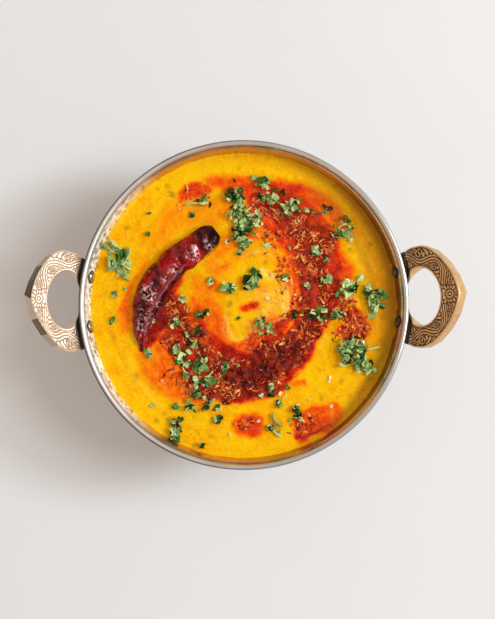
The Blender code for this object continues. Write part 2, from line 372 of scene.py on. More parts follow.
class Tree:
    """Puts nodes into a material's or a group's tree and joins them up."""

    def __init__(self, tree: bpy.types.NodeTree) -> None:
        """Keeps the tree that the nodes go into."""
        self.tree = tree

    def wire(self, node: bpy.types.Node, inputs: dict[Any, Any]) -> bpy.types.Node:
        """Sets or links some of a node's inputs.

        Args:
            node: The node.
            inputs: Values or output sockets, by the input's name or number.

        Returns:
            The node.
        """
        for key, value in inputs.items():
            if isinstance(value, Socket):
                self.tree.links.new(value, node.inputs[key])
            else:
                node.inputs[key].default_value = value
        return node

    def add(self, kind: str, inputs: dict[Any, Any] | None = None, **settings: Any) -> bpy.types.Node:
        """Adds one node.

        Args:
            kind: The node's type, without its ShaderNode prefix.
            inputs: Values or output sockets for its inputs, by name or number.
            settings: Its other settings, which are made first.

        Returns:
            The node.
        """
        node = self.tree.nodes.new("ShaderNode" + kind)
        for name, value in settings.items():
            setattr(node, name, value)
        return self.wire(node, inputs or {})

    def group(self, group: bpy.types.NodeTree, **inputs: Any) -> Any:
        """The outputs of a shared group, placed with its own values."""
        return self.add("Group", inputs, node_tree=group).outputs

    def math(self, operation: str, *values: Any) -> Socket:
        """The result of a math operation on one to three values or sockets."""
        return self.add("Math", dict(enumerate(values)), operation=operation).outputs[0]

    def times(self, *factors: Any) -> Socket:
        """The product of some values or sockets."""
        return reduce(partial(self.math, "MULTIPLY"), factors)

    def scaled(self, value: Any, factor: Any, shift: Any) -> Socket:
        """A value times a factor, plus a shift."""
        return self.math("MULTIPLY_ADD", value, factor, shift)

    def largest(self, *values: Any) -> Socket:
        """The largest of some values or sockets."""
        return reduce(partial(self.math, "MAXIMUM"), values)

    def vector(self, operation: str, *values: Any) -> Any:
        """The outputs of a vector operation on one or two vectors."""
        return self.add("VectorMath", dict(enumerate(values)), operation=operation).outputs

    def place(self) -> Socket:
        """Object coordinates."""
        return self.add("TexCoord").outputs["Object"]

    def sides(self) -> Any:
        """The object coordinates' X, Y and Z."""
        return self.add("SeparateXYZ", {0: self.place()}).outputs

    def mask(self, name: str) -> Socket:
        """A value kept on the piece's points."""
        return self.add("Attribute", attribute_name=name).outputs["Fac"]

    def noise(self, scale: Any, detail: float = 2.0, vector: Any = None, rough: float = 0.5) -> Socket:
        """A noise of about 0..1, lumps per metre given by its scale."""
        inputs = {"Scale": scale, "Detail": detail, "Roughness": rough, "Vector": vector or self.place()}
        return self.add("TexNoise", inputs).outputs["Fac"]

    def chips(self, scale: float, vector: Socket) -> tuple[Socket, Socket]:
        """Distance from the middles of scattered cells, and a random value for each cell."""
        cells = self.add("TexVoronoi", {"Vector": vector, "Scale": scale}).outputs
        return cells["Distance"], self.add("SeparateColor", {0: cells["Color"]}).outputs[0]

    def span(self, value: Any, low: float, high: float, new_low: float = 0, new_high: float = 1) -> Socket:
        """A value moved from one span to another and clipped to it."""
        inputs = {"Value": value, "From Min": low, "From Max": high, "To Min": new_low, "To Max": new_high}
        return self.add("MapRange", inputs).outputs[0]

    def blend(self, share: Any, first: Any, second: Any) -> Socket:
        """Two colours, values or sockets, mixed by a share."""
        colours = [(*c, 1.0) if isinstance(c, tuple) else c for c in (first, second)]
        return self.add("Mix", {0: share, 6: colours[0], 7: colours[1]}, data_type="RGBA").outputs[2]

    def ramp(self, value: Any, stops: Sequence[tuple[float, Colour]]) -> Socket:
        """A colour picked along some stops, each a place and a colour.

        Args:
            value: Where along the ramp to pick, 0 to 1.
            stops: The places, 0 to 1, and their colours.

        Returns:
            The colour's socket.
        """
        node = self.add("ValToRGB", {"Fac": value})
        elements = node.color_ramp.elements
        while len(elements) < len(stops):
            elements.new(0.5)
        for element, (place, colour) in zip(elements, stops):
            element.position = place
            element.color = (*colour, 1.0)
        return node.outputs["Color"]

    def bump(self, height: Any, depth: float, strength: float = 1.0) -> Socket:
        """A bumped normal from a height of 0..1, its depth in metres."""
        inputs = {"Height": height, "Distance": depth, "Strength": strength}
        return self.add("Bump", inputs).outputs["Normal"]


def new_group(name: str, inputs: dict[str, float], outputs: Sequence[str]) -> tuple[Tree, Any, Any]:
    """An empty shader group with named sockets.

    Args:
        name: The group's name.
        inputs: Its inputs and their usual values.
        outputs: Its outputs' names.

    Returns:
        Its tree tool, the sockets that bring its inputs, and its output node.
    """
    group = bpy.data.node_groups.new(name, "ShaderNodeTree")
    for label, value in inputs.items():
        socket = group.interface.new_socket(label, in_out="INPUT", socket_type="NodeSocketFloat")
        socket.default_value = value
    for label in outputs:
        group.interface.new_socket(label, in_out="OUTPUT", socket_type="NodeSocketFloat")
    start = group.nodes.new("NodeGroupInput")
    return Tree(group), start.outputs, group.nodes.new("NodeGroupOutput")


class SharedGroups:
    """The effects that more than one finish uses, each built once."""

    def __init__(self) -> None:
        """Builds all of them."""
        self.mottle = self._mottle()
        self.wetness = self._wetness()
        self.brushing = self._brushing()

    @staticmethod
    def _mottle() -> bpy.types.NodeTree:
        """Uneven tone: large soft patches with finer ones on them.

        Returns:
            The group.
        """
        inputs = {"Patches": 150.0, "Specks": 900.0, "Contrast": 1.0}
        tree, given, end = new_group("uneven_tone", inputs, ["Tone"])
        both = tree.math("ADD", tree.noise(given["Patches"], 3.0), tree.noise(given["Specks"], 2.0))
        spread = tree.scaled(tree.math("SUBTRACT", both, 1.0), given["Contrast"], 0.5)
        tree.wire(end, {"Tone": tree.math("MINIMUM", tree.largest(spread, 0.0), 1.0)})
        return tree.tree

    @staticmethod
    def _wetness() -> bpy.types.NodeTree:
        """Wet skin: smooth where liquid lies, a little rougher between, with fine waves.

        Returns:
            The group.
        """
        inputs = {"Size": 400.0, "Smooth": 0.1, "Rough": 0.35}
        tree, given, end = new_group("wetness", inputs, ["Roughness", "Height"])
        waves = tree.noise(given["Size"], 3.0)
        reach = tree.math("SUBTRACT", given["Rough"], given["Smooth"])
        rough = tree.scaled(tree.span(waves, 0.35, 0.65), reach, given["Smooth"])
        tree.wire(end, {"Roughness": rough, "Height": waves})
        return tree.tree

    @staticmethod
    def _brushing() -> bpy.types.NodeTree:
        """Fine lines round the Z axis, from metal turned against a belt.

        Returns:
            The group.
        """
        tree, given, end = new_group("turned_brushing", {"Lines": 2200.0, "Length": 5.0}, ["Height", "Tone"])
        x, y, z = tree.sides()
        radius = tree.math("SQRT", tree.math("ADD", tree.times(x, x), tree.times(y, y)))
        away = tree.largest(radius, 0.1 * MM)
        turns = [tree.times(tree.math("DIVIDE", side, away), given["Length"]) for side in (x, y)]
        lines = tree.times(tree.math("ADD", z, tree.times(radius, -0.7)), given["Lines"])
        vector = tree.add("CombineXYZ", {"X": turns[0], "Y": turns[1], "Z": lines}).outputs[0]
        broad = tree.noise(1.0, 1.0, tree.vector("MULTIPLY", vector, (1.0, 1.0, 0.12))[0])
        tree.wire(end, {"Height": tree.noise(1.0, 2.0, vector), "Tone": broad})
        return tree.tree


@dataclass(frozen=True)
class Finish:
    """A named look on a Principled shader; each kind says what goes into the shader."""

    name: str

    def sockets(self, tree: Tree, groups: SharedGroups) -> dict[str, Any]:
        """The values and sockets for the shader's inputs, by name.

        Args:
            tree: The material's tree tool.
            groups: The effects that finishes share.

        Returns:
            The values and sockets.
        """
        raise NotImplementedError

    def material(self, groups: SharedGroups) -> Material:
        """The finish as a material, built from the shared groups.

        Args:
            groups: The shader groups that all finishes share.

        Returns:
            The new material.
        """
        material = bpy.data.materials.new(self.name)
        material.use_nodes = True
        tree = Tree(material.node_tree)
        tree.wire(material.node_tree.nodes["Principled BSDF"], self.sockets(tree, groups))
        return material


@dataclass(frozen=True)
class TurnedSteel(Finish):
    """Stainless steel brushed round the bowl, with dal dried low on its inner wall, painted highlight on the
    lit left and painted shade on the right.
    """

    name: str = "turned_steel"
    bright: Colour = srgb(240, 236, 233)
    dull: Colour = srgb(220, 215, 210)
    # painted shade: the metal on the shaded right side
    painted_shade_and_highlight: Colour = srgb(214, 207, 202)
    # painted shade in the creases beside the bead
    painted_shade: Colour = srgb(92, 82, 72)
    oily_and_shaded: Colour = srgb(214, 160, 84)
    # painted shade: the oil on the shaded right wall, darker low and paler high
    burnt_and_shade: Colour = srgb(140, 104, 56)
    painted_shade_pale: Colour = srgb(206, 172, 124)
    # partly real dried dal, painted whitest as highlight where the key light falls on the left wall
    film_highlight_colour: Colour = srgb(255, 247, 224)
    film_dirt: Colour = srgb(128, 118, 98)
    smear_colour: Colour = srgb(240, 176, 20)
    rivet_dirt: Colour = srgb(36, 24, 16)
    # painted shade: the shaded right side lies this way, and the painted shade grows between these distances
    shaded_towards: Triple = (0.94, -0.34, 0.0)
    shaded_from: Pair = (16.0 * MM, 66.0 * MM)
    # painted shade: radii of the dark creases beside the bead, and the heights and sides between which they
    # show
    crease_outer: Pair = (81.95 * MM, 82.35 * MM)
    crease_inner: tuple[float, float, float, float] = (78.3 * MM, 79.0 * MM, 79.7 * MM, 80.2 * MM)
    creased_above: Pair = (52.2 * MM, 52.9 * MM)
    creased_towards: Pair = (50.0 * MM, -40.0 * MM)
    # heights and sides where the dried dal (painted highlight, left), the oil (painted shade, right) and the
    # smear begin or end
    film_highlight_from: Pair = (-42.0 * MM, -62.0 * MM)
    film_below: Pair = (54.2 * MM, 53.2 * MM)
    oil_below: Pair = (52.7 * MM, 52.1 * MM)
    shade_pales: Pair = (49.5 * MM, 52.0 * MM)
    smear_top: float = 44.9 * MM
    smear_wave: float = 5.0 * MM
    # how far from a rivet's seat its ring of dirt ends and begins
    rivet_ring: Pair = (3.7 * MM, 3.1 * MM)
    rivet_centres: tuple[tuple[float, ...], ...] = ()

    def bare(self, tree: Tree, tone: Socket, worn_and_shaded: Socket) -> Socket:
        """The bare metal, painted darker on the shaded right side, with painted shade in the creases beside
        the bead.

        Args:
            tree: The material's tree tool.
            tone: The brushing's tone.
            worn_and_shaded: How much painted shade darkens each place, 0 to 1.

        Returns:
            The colour.
        """
        metal = tree.blend(tree.times(worn_and_shaded, 0.8), tree.blend(tone, self.bright, self.dull), self.painted_shade_and_highlight)
        flat = tree.vector("MULTIPLY", tree.place(), (1.0, 1.0, 0.0))[0]
        radius = tree.vector("LENGTH", flat)["Value"]
        x, _, z = tree.sides()
        rise, top, fall, end = self.crease_inner
        rolled = tree.times(
            tree.span(radius, *self.crease_outer), tree.span(x, *self.creased_towards, 0.25, 0.95)
        )
        fading = tree.span(x, *self.creased_towards, 0.0, 0.7)
        tucked = tree.times(tree.span(radius, rise, top), tree.span(radius, end, fall), fading)
        return tree.blend(
            tree.times(tree.largest(rolled, tucked), tree.span(z, *self.creased_above)), metal, self.painted_shade
        )

    def sockets(self, tree: Tree, groups: SharedGroups) -> dict[str, Any]:
        """The brushed metal, then the oil with painted shade on the right, the dried dal with painted
        highlight on the left, the smear and the rivets' dirt over it.

        Args:
            tree: The material's tree tool.
            groups: The shader groups that all finishes share.

        Returns:
            The values and sockets.
        """
        brushing = tree.group(groups.brushing, Lines=1500.0, Length=9.0)
        x, _, z = tree.sides()
        way = tree.vector("DOT_PRODUCT", tree.place(), self.shaded_towards)["Value"]
        worn_and_shaded = tree.span(way, *self.shaded_from)
        # painted shade: the metal darkens towards the shaded right side
        metal = self.bare(tree, tree.span(brushing["Tone"], 0.3, 0.7), worn_and_shaded)
        inside = tree.times(tree.mask("inside"), tree.span(z, *self.film_below))
        # painted shade: the oil on the right wall goes brown, paler towards the rim
        pale = tree.span(z, *self.shade_pales, 0.0, 0.5)
        oil = tree.blend(worn_and_shaded, self.oily_and_shaded, tree.blend(pale, self.burnt_and_shade, self.painted_shade_pale))
        oiled = tree.blend(tree.times(inside, tree.span(z, *self.oil_below, 0.0, 0.85)), metal, oil)
        # painted highlight: the dried dal is whitest on the lit left wall
        cloud = tree.span(tree.noise(170.0, 4.0, rough=0.65), 0.36, 0.6, 0.62, 1.0)
        film_and_highlight = tree.times(tree.span(x, *self.film_highlight_from, 0.05, 1.0), cloud, inside)
        scratch = tree.span(tree.noise(420.0, 3.0, rough=0.6), 0.36, 0.5)
        coated = tree.blend(film_and_highlight, oiled, tree.blend(scratch, self.film_dirt, self.film_highlight_colour))
        wave = tree.scaled(tree.noise(110.0, 3.0), self.smear_wave, self.smear_top)
        smear = tree.times(tree.span(tree.math("SUBTRACT", wave, z), -0.2 * MM, 0.3 * MM), inside)
        gaps = [tree.vector("DISTANCE", tree.place(), centre)["Value"] for centre in self.rivet_centres]
        ring = tree.span(reduce(partial(tree.math, "MINIMUM"), gaps), *self.rivet_ring)
        covered = tree.largest(tree.times(film_and_highlight, 0.9), smear, ring)
        return {
            "Base Color": tree.blend(ring, tree.blend(smear, coated, self.smear_colour), self.rivet_dirt),
            "Metallic": tree.math("SUBTRACT", 1.0, covered),
            "Roughness": tree.scaled(inside, -0.08, tree.span(x, 10.0 * MM, -60.0 * MM, 0.28, 0.42)),
            "Anisotropic": 0.4,
            "Anisotropic Rotation": 0.25,
            "Normal": tree.bump(brushing["Height"], 0.03 * MM, 0.6),
        }


@dataclass(frozen=True)
class CastBrass(Finish):
    """Cast brass, rubbed bright on what stands up and dark with age in the grooves."""

    bright: Colour
    worn_and_shaded: Colour
    groove: Colour
    # painted shade on some filed flats, standing in for their dark reflections
    painted_facet_shade: Colour = srgb(84, 72, 52)
    # painted shade where the casting meets the rim
    painted_shade: Colour = srgb(40, 28, 18)
    dirt_from: Pair = (0.08, 0.8)
    polish: Pair = (0.36, 0.6)

    def sockets(self, tree: Tree, groups: SharedGroups) -> dict[str, Any]:
        """Mottled brass, with painted shade on some flats, dirt in the grooves and painted shade by the wall.

        Args:
            tree: The material's tree tool.
            groups: The shader groups that all finishes share.

        Returns:
            The values and sockets.
        """
        tone = tree.group(groups.mottle, Patches=260.0, Specks=1400.0, Contrast=1.6)["Tone"]
        metal = tree.blend(tree.mask("painted_facet_shade"), tree.blend(tone, self.bright, self.worn_and_shaded), self.painted_facet_shade)
        depth, painted_shade = tree.mask("groove"), tree.mask("painted_shade")
        dirt = tree.span(depth, *self.dirt_from)
        return {
            "Base Color": tree.blend(painted_shade, tree.blend(dirt, metal, self.groove), self.painted_shade),
            "Metallic": tree.times(tree.span(depth, 0.2, 0.9, 0.95, 0.6), tree.scaled(painted_shade, -0.8, 1.0)),
            "Roughness": tree.span(tree.math("ADD", dirt, tone), 0.0, 2.0, *self.polish),
            "Normal": tree.bump(tree.noise(2600.0, 2.0), 0.06 * MM, 0.5),
        }


@dataclass(frozen=True)
class PolishedRivet(Finish):
    """A rivet head, bright on its dome with fine scratches, dirt caught round its edge."""

    name: str = "polished_rivet"
    bright: Colour = srgb(226, 220, 212)
    dark: Colour = srgb(140, 128, 114)
    dirt: Colour = srgb(34, 22, 14)
    dirt_from: Pair = (0.98, 1.08)

    def sockets(self, tree: Tree, groups: SharedGroups) -> dict[str, Any]:
        """Scratched metal, and dirt from some share of the head's radius outwards.

        Args:
            tree: The material's tree tool.
            groups: The shader groups that all finishes share.

        Returns:
            The values and sockets.
        """
        tone = tree.group(groups.mottle, Patches=700.0, Specks=3000.0, Contrast=2.2)["Tone"]
        dirt = tree.span(tree.scaled(tone, 0.16, tree.mask("edge")), *self.dirt_from)
        return {
            "Base Color": tree.blend(dirt, tree.blend(tone, self.bright, self.dark), self.dirt),
            "Metallic": tree.scaled(dirt, -0.9, 1.0),
            "Roughness": tree.span(tone, 0.0, 1.0, 0.14, 0.36),
        }


@dataclass(frozen=True)
class WetDal(Finish):
    """Thick yellow dal, stained by chilli oil from orange to nearly black red."""

    name: str = "wet_dal"
    stops: tuple[tuple[float, Colour], ...] = (
        (0.0, srgb(252, 187, 4)),
        (0.2, srgb(254, 166, 2)),
        (0.36, srgb(252, 132, 6)),
        (0.52, srgb(242, 84, 6)),
        (0.68, srgb(212, 46, 8)),
        (0.84, srgb(150, 18, 8)),
        (1.0, srgb(84, 10, 8)),
    )
    chip_stops: tuple[tuple[float, Colour], ...] = (
        (0.0, srgb(46, 3, 4)),
        (0.3, srgb(88, 9, 6)),
        (0.55, srgb(136, 24, 8)),
        (0.8, srgb(190, 66, 14)),
        (1.0, srgb(108, 14, 8)),
    )
    pale: Colour = srgb(254, 203, 6)
    deep: Colour = srgb(240, 146, 0)
    grain: Colour = srgb(255, 214, 52)
    herb: Colour = srgb(158, 128, 12)
    # painted highlight: pale streaks standing in for glints
    painted_highlight: Colour = srgb(255, 226, 110)
    # painted shade: the dal along the shaded right wall
    painted_wall_shade: Colour = srgb(138, 80, 22)

    def clean(self, tree: Tree, groups: SharedGroups, colour: Socket, fine: Socket, blotch: Socket) -> Socket:
        """The unstained dal: clouded, with split grains and herbs sunk in it.

        Args:
            tree: The material's tree tool.
            groups: The effects that finishes share.
            colour: The dal's colour before all that.
            fine: Fine noise about 0.
            blotch: Coarser noise about 0.

        Returns:
            The colour.
        """
        tone = tree.group(groups.mottle, Patches=95.0, Specks=1100.0, Contrast=2.0)["Tone"]
        pale = tree.blend(tree.span(tone, 0.5, 0.95, 0.0, 0.6), colour, self.pale)
        deep = tree.blend(tree.span(tone, 0.5, 0.05, 0.0, 0.62), pale, self.deep)
        away, chance = tree.chips(140.0, tree.place())
        near = tree.scaled(fine, 0.3, tree.scaled(blotch, 0.9, away))
        sunk = tree.times(tree.span(near, 0.3, 0.02), tree.span(chance, 0.32, 0.46), 0.7)
        grains = tree.span(tree.noise(620.0, 2.0), 0.58, 0.7, 0.0, 0.5)
        return tree.blend(sunk, tree.blend(grains, deep, self.grain), self.herb)

    def sockets(self, tree: Tree, groups: SharedGroups) -> dict[str, Any]:
        """Clean and stained dal, then the flakes' bed, the painted highlight streaks and the painted shade by
        the right wall.

        Args:
            tree: The material's tree tool.
            groups: The shader groups that all finishes share.

        Returns:
            The values and sockets.
        """
        stain_and_shade, bed, wall_shade, painted_highlight = (tree.mask(name) for name in ("stain_and_shade", "bed", "wall_shade", "painted_highlight"))
        fine = tree.math("SUBTRACT", tree.noise(1000.0, 4.0, rough=0.6), 0.5)
        blotch = tree.math("SUBTRACT", tree.noise(260.0, 3.0, rough=0.6), 0.5)
        uneven = tree.times(tree.scaled(fine, 0.45, tree.times(blotch, 0.5)), tree.span(stain_and_shade, 0.03, 0.3))
        colour = tree.ramp(tree.math("ADD", stain_and_shade, uneven), self.stops)
        body = tree.blend(tree.span(stain_and_shade, 0.1, 0.35), self.clean(tree, groups, colour, fine, blotch), colour)
        bent = tree.times(tree.noise(420.0, 3.0), 4.0 * MM)
        gap, chip = tree.chips(460.0, tree.vector("ADD", tree.place(), bent)[0])
        bedded = tree.times(tree.span(tree.scaled(blotch, 0.9, bed), 0.3, 0.85), 0.7)
        dressed = tree.blend(bedded, body, tree.ramp(chip, self.chip_stops))
        # painted highlight streaks
        highlight_share = tree.times(painted_highlight, tree.span(tree.noise(700.0, 3.0), 0.36, 0.6, 0.15, 0.85))
        glossy = tree.span(tree.noise(310.0, 2.0), 0.44, 0.6, 0.04, 0.66)
        relief = tree.scaled(tree.times(gap, bed), -2.0, tree.noise(480.0, 3.0))
        return {
            "Base Color": tree.blend(wall_shade, tree.blend(highlight_share, dressed, self.painted_highlight), self.painted_wall_shade),
            "Roughness": tree.group(groups.wetness, Size=320.0, Smooth=0.12, Rough=0.3)["Roughness"],
            "IOR": 1.42,
            "Specular IOR Level": 0.08,
            "Coat Weight": tree.times(tree.span(stain_and_shade, 0.3, 0.8), glossy),
            "Coat Roughness": 0.08,
            "Subsurface Weight": 0.3,
            "Subsurface Radius": (1.0, 0.45, 0.1),
            "Subsurface Scale": 1.0 * MM,
            "Normal": tree.bump(relief, 0.36 * MM, 0.65),
        }


@dataclass(frozen=True)
class ChilliSkin(Finish):
    """The dry chilli's skin: dark crimson, translucent red where it is thin, glossy with oil."""

    name: str = "chilli_skin"
    deep: Colour = srgb(84, 0, 2)
    red: Colour = srgb(176, 10, 6)
    # dark at the stalk end; painted shade in the hollows and beyond the fold
    burnt_and_shade: Colour = srgb(28, 3, 6)
    # painted highlight along the folded ridge
    seam_and_highlight: Colour = srgb(156, 84, 94)
    # painted highlight in patches on the upper side
    painted_shade_and_highlight: Colour = srgb(255, 204, 196)

    def sockets(self, tree: Tree, groups: SharedGroups) -> dict[str, Any]:
        """Mottled skin, charred at the stalk end, with painted shade in its hollows and beyond the fold, and
        painted highlights along the fold and in patches.

        Args:
            tree: The material's tree tool.
            groups: The shader groups that all finishes share.

        Returns:
            The values and sockets.
        """
        tone = tree.group(groups.mottle, Patches=170.0, Specks=800.0, Contrast=1.8)["Tone"]
        burnt_and_shade = tree.mask("burnt_and_shade")
        skin = tree.blend(burnt_and_shade, tree.blend(tone, self.deep, self.red), self.burnt_and_shade)
        with_seam = tree.blend(tree.mask("seam_and_highlight"), skin, self.seam_and_highlight)
        highlight_spots = tree.times(tree.mask("painted_shade_and_highlight"), tree.span(tree.noise(640.0, 3.0), 0.5, 0.57, 0.0, 0.9))
        glossy = tree.span(tree.noise(200.0, 2.0), 0.42, 0.56, 0.04, 1.0)
        return {
            "Base Color": tree.blend(highlight_spots, with_seam, self.painted_shade_and_highlight),
            "Roughness": tree.group(groups.wetness, Size=500.0, Smooth=0.1, Rough=0.26)["Roughness"],
            "Specular IOR Level": 0.08,
            "Coat Weight": tree.times(glossy, tree.span(burnt_and_shade, 0.2, 0.9, 1.0, 0.3)),
            "Coat Roughness": 0.14,
            "Normal": tree.bump(tree.noise(340.0, 4.0), 0.6 * MM, 0.7),
        }


@dataclass(frozen=True)
class CrumbFinish(Finish):
    """Small bits of food, each a little different from the next: fried flakes, herbs, garlic."""

    light: Colour
    dark: Colour
    middle: Colour | None = None
    smooth: float = 0.15
    rough: float = 0.4
    glow: float = 0.0
    oiled: float = 0.0
    shine: float = 0.3

    def sockets(self, tree: Tree, groups: SharedGroups) -> dict[str, Any]:
        """A colour by each bit's own tone, a little mottled, on a wet skin.

        Args:
            tree: The material's tree tool.
            groups: The shader groups that all finishes share.

        Returns:
            The values and sockets.
        """
        mottle = tree.group(groups.mottle, Patches=900.0, Specks=3200.0, Contrast=1.2)["Tone"]
        share = tree.scaled(tree.math("SUBTRACT", mottle, 0.5), 0.5, tree.mask("tone"))
        between = [(0.45, self.middle)] if self.middle else []
        wet = tree.group(groups.wetness, Size=1500.0, Smooth=self.smooth, Rough=self.rough)
        return {
            "Base Color": tree.ramp(share, [(0.0, self.dark), *between, (1.0, self.light)]),
            "Roughness": wet["Roughness"],
            "Specular IOR Level": self.shine,
            "Coat Weight": self.oiled,
            "Coat Roughness": 0.14,
            "Subsurface Weight": self.glow,
            "Subsurface Radius": (0.8, 0.9, 0.4),
            "Subsurface Scale": 0.5 * MM,
            "Normal": tree.bump(wet["Height"], 0.1 * MM, 0.4),
        }


@dataclass(frozen=True)
class PaleFloor(Finish):
    """A matt floor, nearly white, in faint broad patches."""

    name: str = "pale_floor"
    light: Colour = srgb(234, 231, 228)
    dark: Colour = srgb(228, 226, 224)

    def sockets(self, tree: Tree, groups: SharedGroups) -> dict[str, Any]:
        """Two close tones in broad patches."""
        colour = tree.blend(tree.noise(9.0, 2.0), self.light, self.dark)
        return {"Base Color": colour, "Roughness": 0.9, "Specular IOR Level": 0.2}


# ---------------------------------------------------------------- the bowl


@dataclass
class Karahi:
    """The spun steel bowl with its rolled rim."""

    rim_radius: float = 83.0 * MM
    height: float = 55.0 * MM
    bead_radius: float = 1.35 * MM
    bead_turns: Pair = (-60.0, 205.0)
    sheet: float = 1.2 * MM
    foot_radius: float = 44.0 * MM
    foot_fillet: float = 9.0 * MM
    rim_slope: float = math.radians(17.4)
    segments: int = 288
    wall_steps: int = 44
    fillet_steps: int = 10
    bead_steps: int = 26

    def wall_circle(self) -> tuple[Pair, float]:
        """The circle that the wall's outside follows from the foot's edge up to the bead.

        Returns:
            Its centre as (radius, height), and its radius.
        """
        top = (self.rim_radius - 1.5 * self.bead_radius, self.height - self.bead_radius)
        reach = (top[0] - self.foot_radius, top[1])
        end = -self.rim_slope
        start = end - 2.0 * (math.pi / 2 + end - math.atan2(reach[1], reach[0]))
        radius = math.hypot(*reach) / (2.0 * math.sin((end - start) / 2.0))
        return (top[0] - radius * math.cos(end), top[1] - radius * math.sin(end)), radius

    def radius_at(self, height: float, inset: float = 0.0) -> float:
        """Radius of the wall's outside at a height, moved in by inset along its normal."""
        centre, radius = self.wall_circle()
        return centre[0] + math.sqrt((radius - inset) ** 2 - (height - centre[1]) ** 2)

    def wall_line(self, inset: float, floor: float, top: float, steps: int) -> Line:
        """The wall's section from the middle of the floor up to a height.

        Args:
            inset: Distance inwards from the outside skin.
            floor: Height of the flat floor.
            top: Height at which the line ends.
            steps: Stretches between the foot's fillet and the top.

        Returns:
            Points as (radius, height).
        """
        centre, radius = self.wall_circle()
        radius -= inset
        fillet = self.foot_fillet - inset
        level = floor + fillet
        mid = (centre[0] + math.sqrt((radius - fillet) ** 2 - (level - centre[1]) ** 2), level)
        meet = math.atan2(mid[1] - centre[1], mid[0] - centre[0])
        end = math.asin((top - centre[1]) / radius)
        points = [(0.0, floor), (0.5 * self.foot_radius, floor)]
        points += arc(mid, fillet, np.linspace(-math.pi / 2, meet, self.fillet_steps))
        return points + arc(centre, radius, np.linspace(meet, end, steps + 1)[1:])

    def section(self) -> Line:
        """The whole closed section: outside wall, rolled bead, inside wall.

        Returns:
            The section's points.
        """
        middle = (self.rim_radius - self.bead_radius, self.height - self.bead_radius)
        tuck = middle[1] - 0.75 * self.bead_radius
        outside = self.wall_line(0.0, 0.0, tuck, self.wall_steps)
        inside = self.wall_line(self.sheet, self.sheet, tuck, self.wall_steps)
        turns = np.radians(np.linspace(*self.bead_turns, self.bead_steps))
        return outside + arc(middle, self.bead_radius, turns) + inside[::-1]

    def build(self) -> Piece:
        """The bowl's mesh, with its inner side marked for the dal dried on it.

        Returns:
            The bowl.
        """
        bm = turned(self.section(), self.segments)
        top = self.height - 3.0 * self.bead_radius
        inner = [
            math.hypot(*vert.co.xy) < self.radius_at(min(vert.co.z, top), 0.5 * self.sheet)
            and vert.co.z > self.sheet - 0.01 * MM
            for vert in bm.verts
        ]
        keep_values(bm, "inside", np.array(inner, dtype=float))
        return as_object("karahi_bowl", bm)

    def dress(self, groups: SharedGroups) -> Piece:
        """Builds the bowl and puts its steel on."""
        centres = tuple(tuple(rivet.seat(self).translation) for rivet in rivets())
        return put_on(self.build(), TurnedSteel(rivet_centres=centres).material(groups), ["bowl"])


# ---------------------------------------------------------------- the handles


class Side(Enum):
    """Which side of the bowl a handle is on."""

    RIGHT = 1.0
    LEFT = -1.0


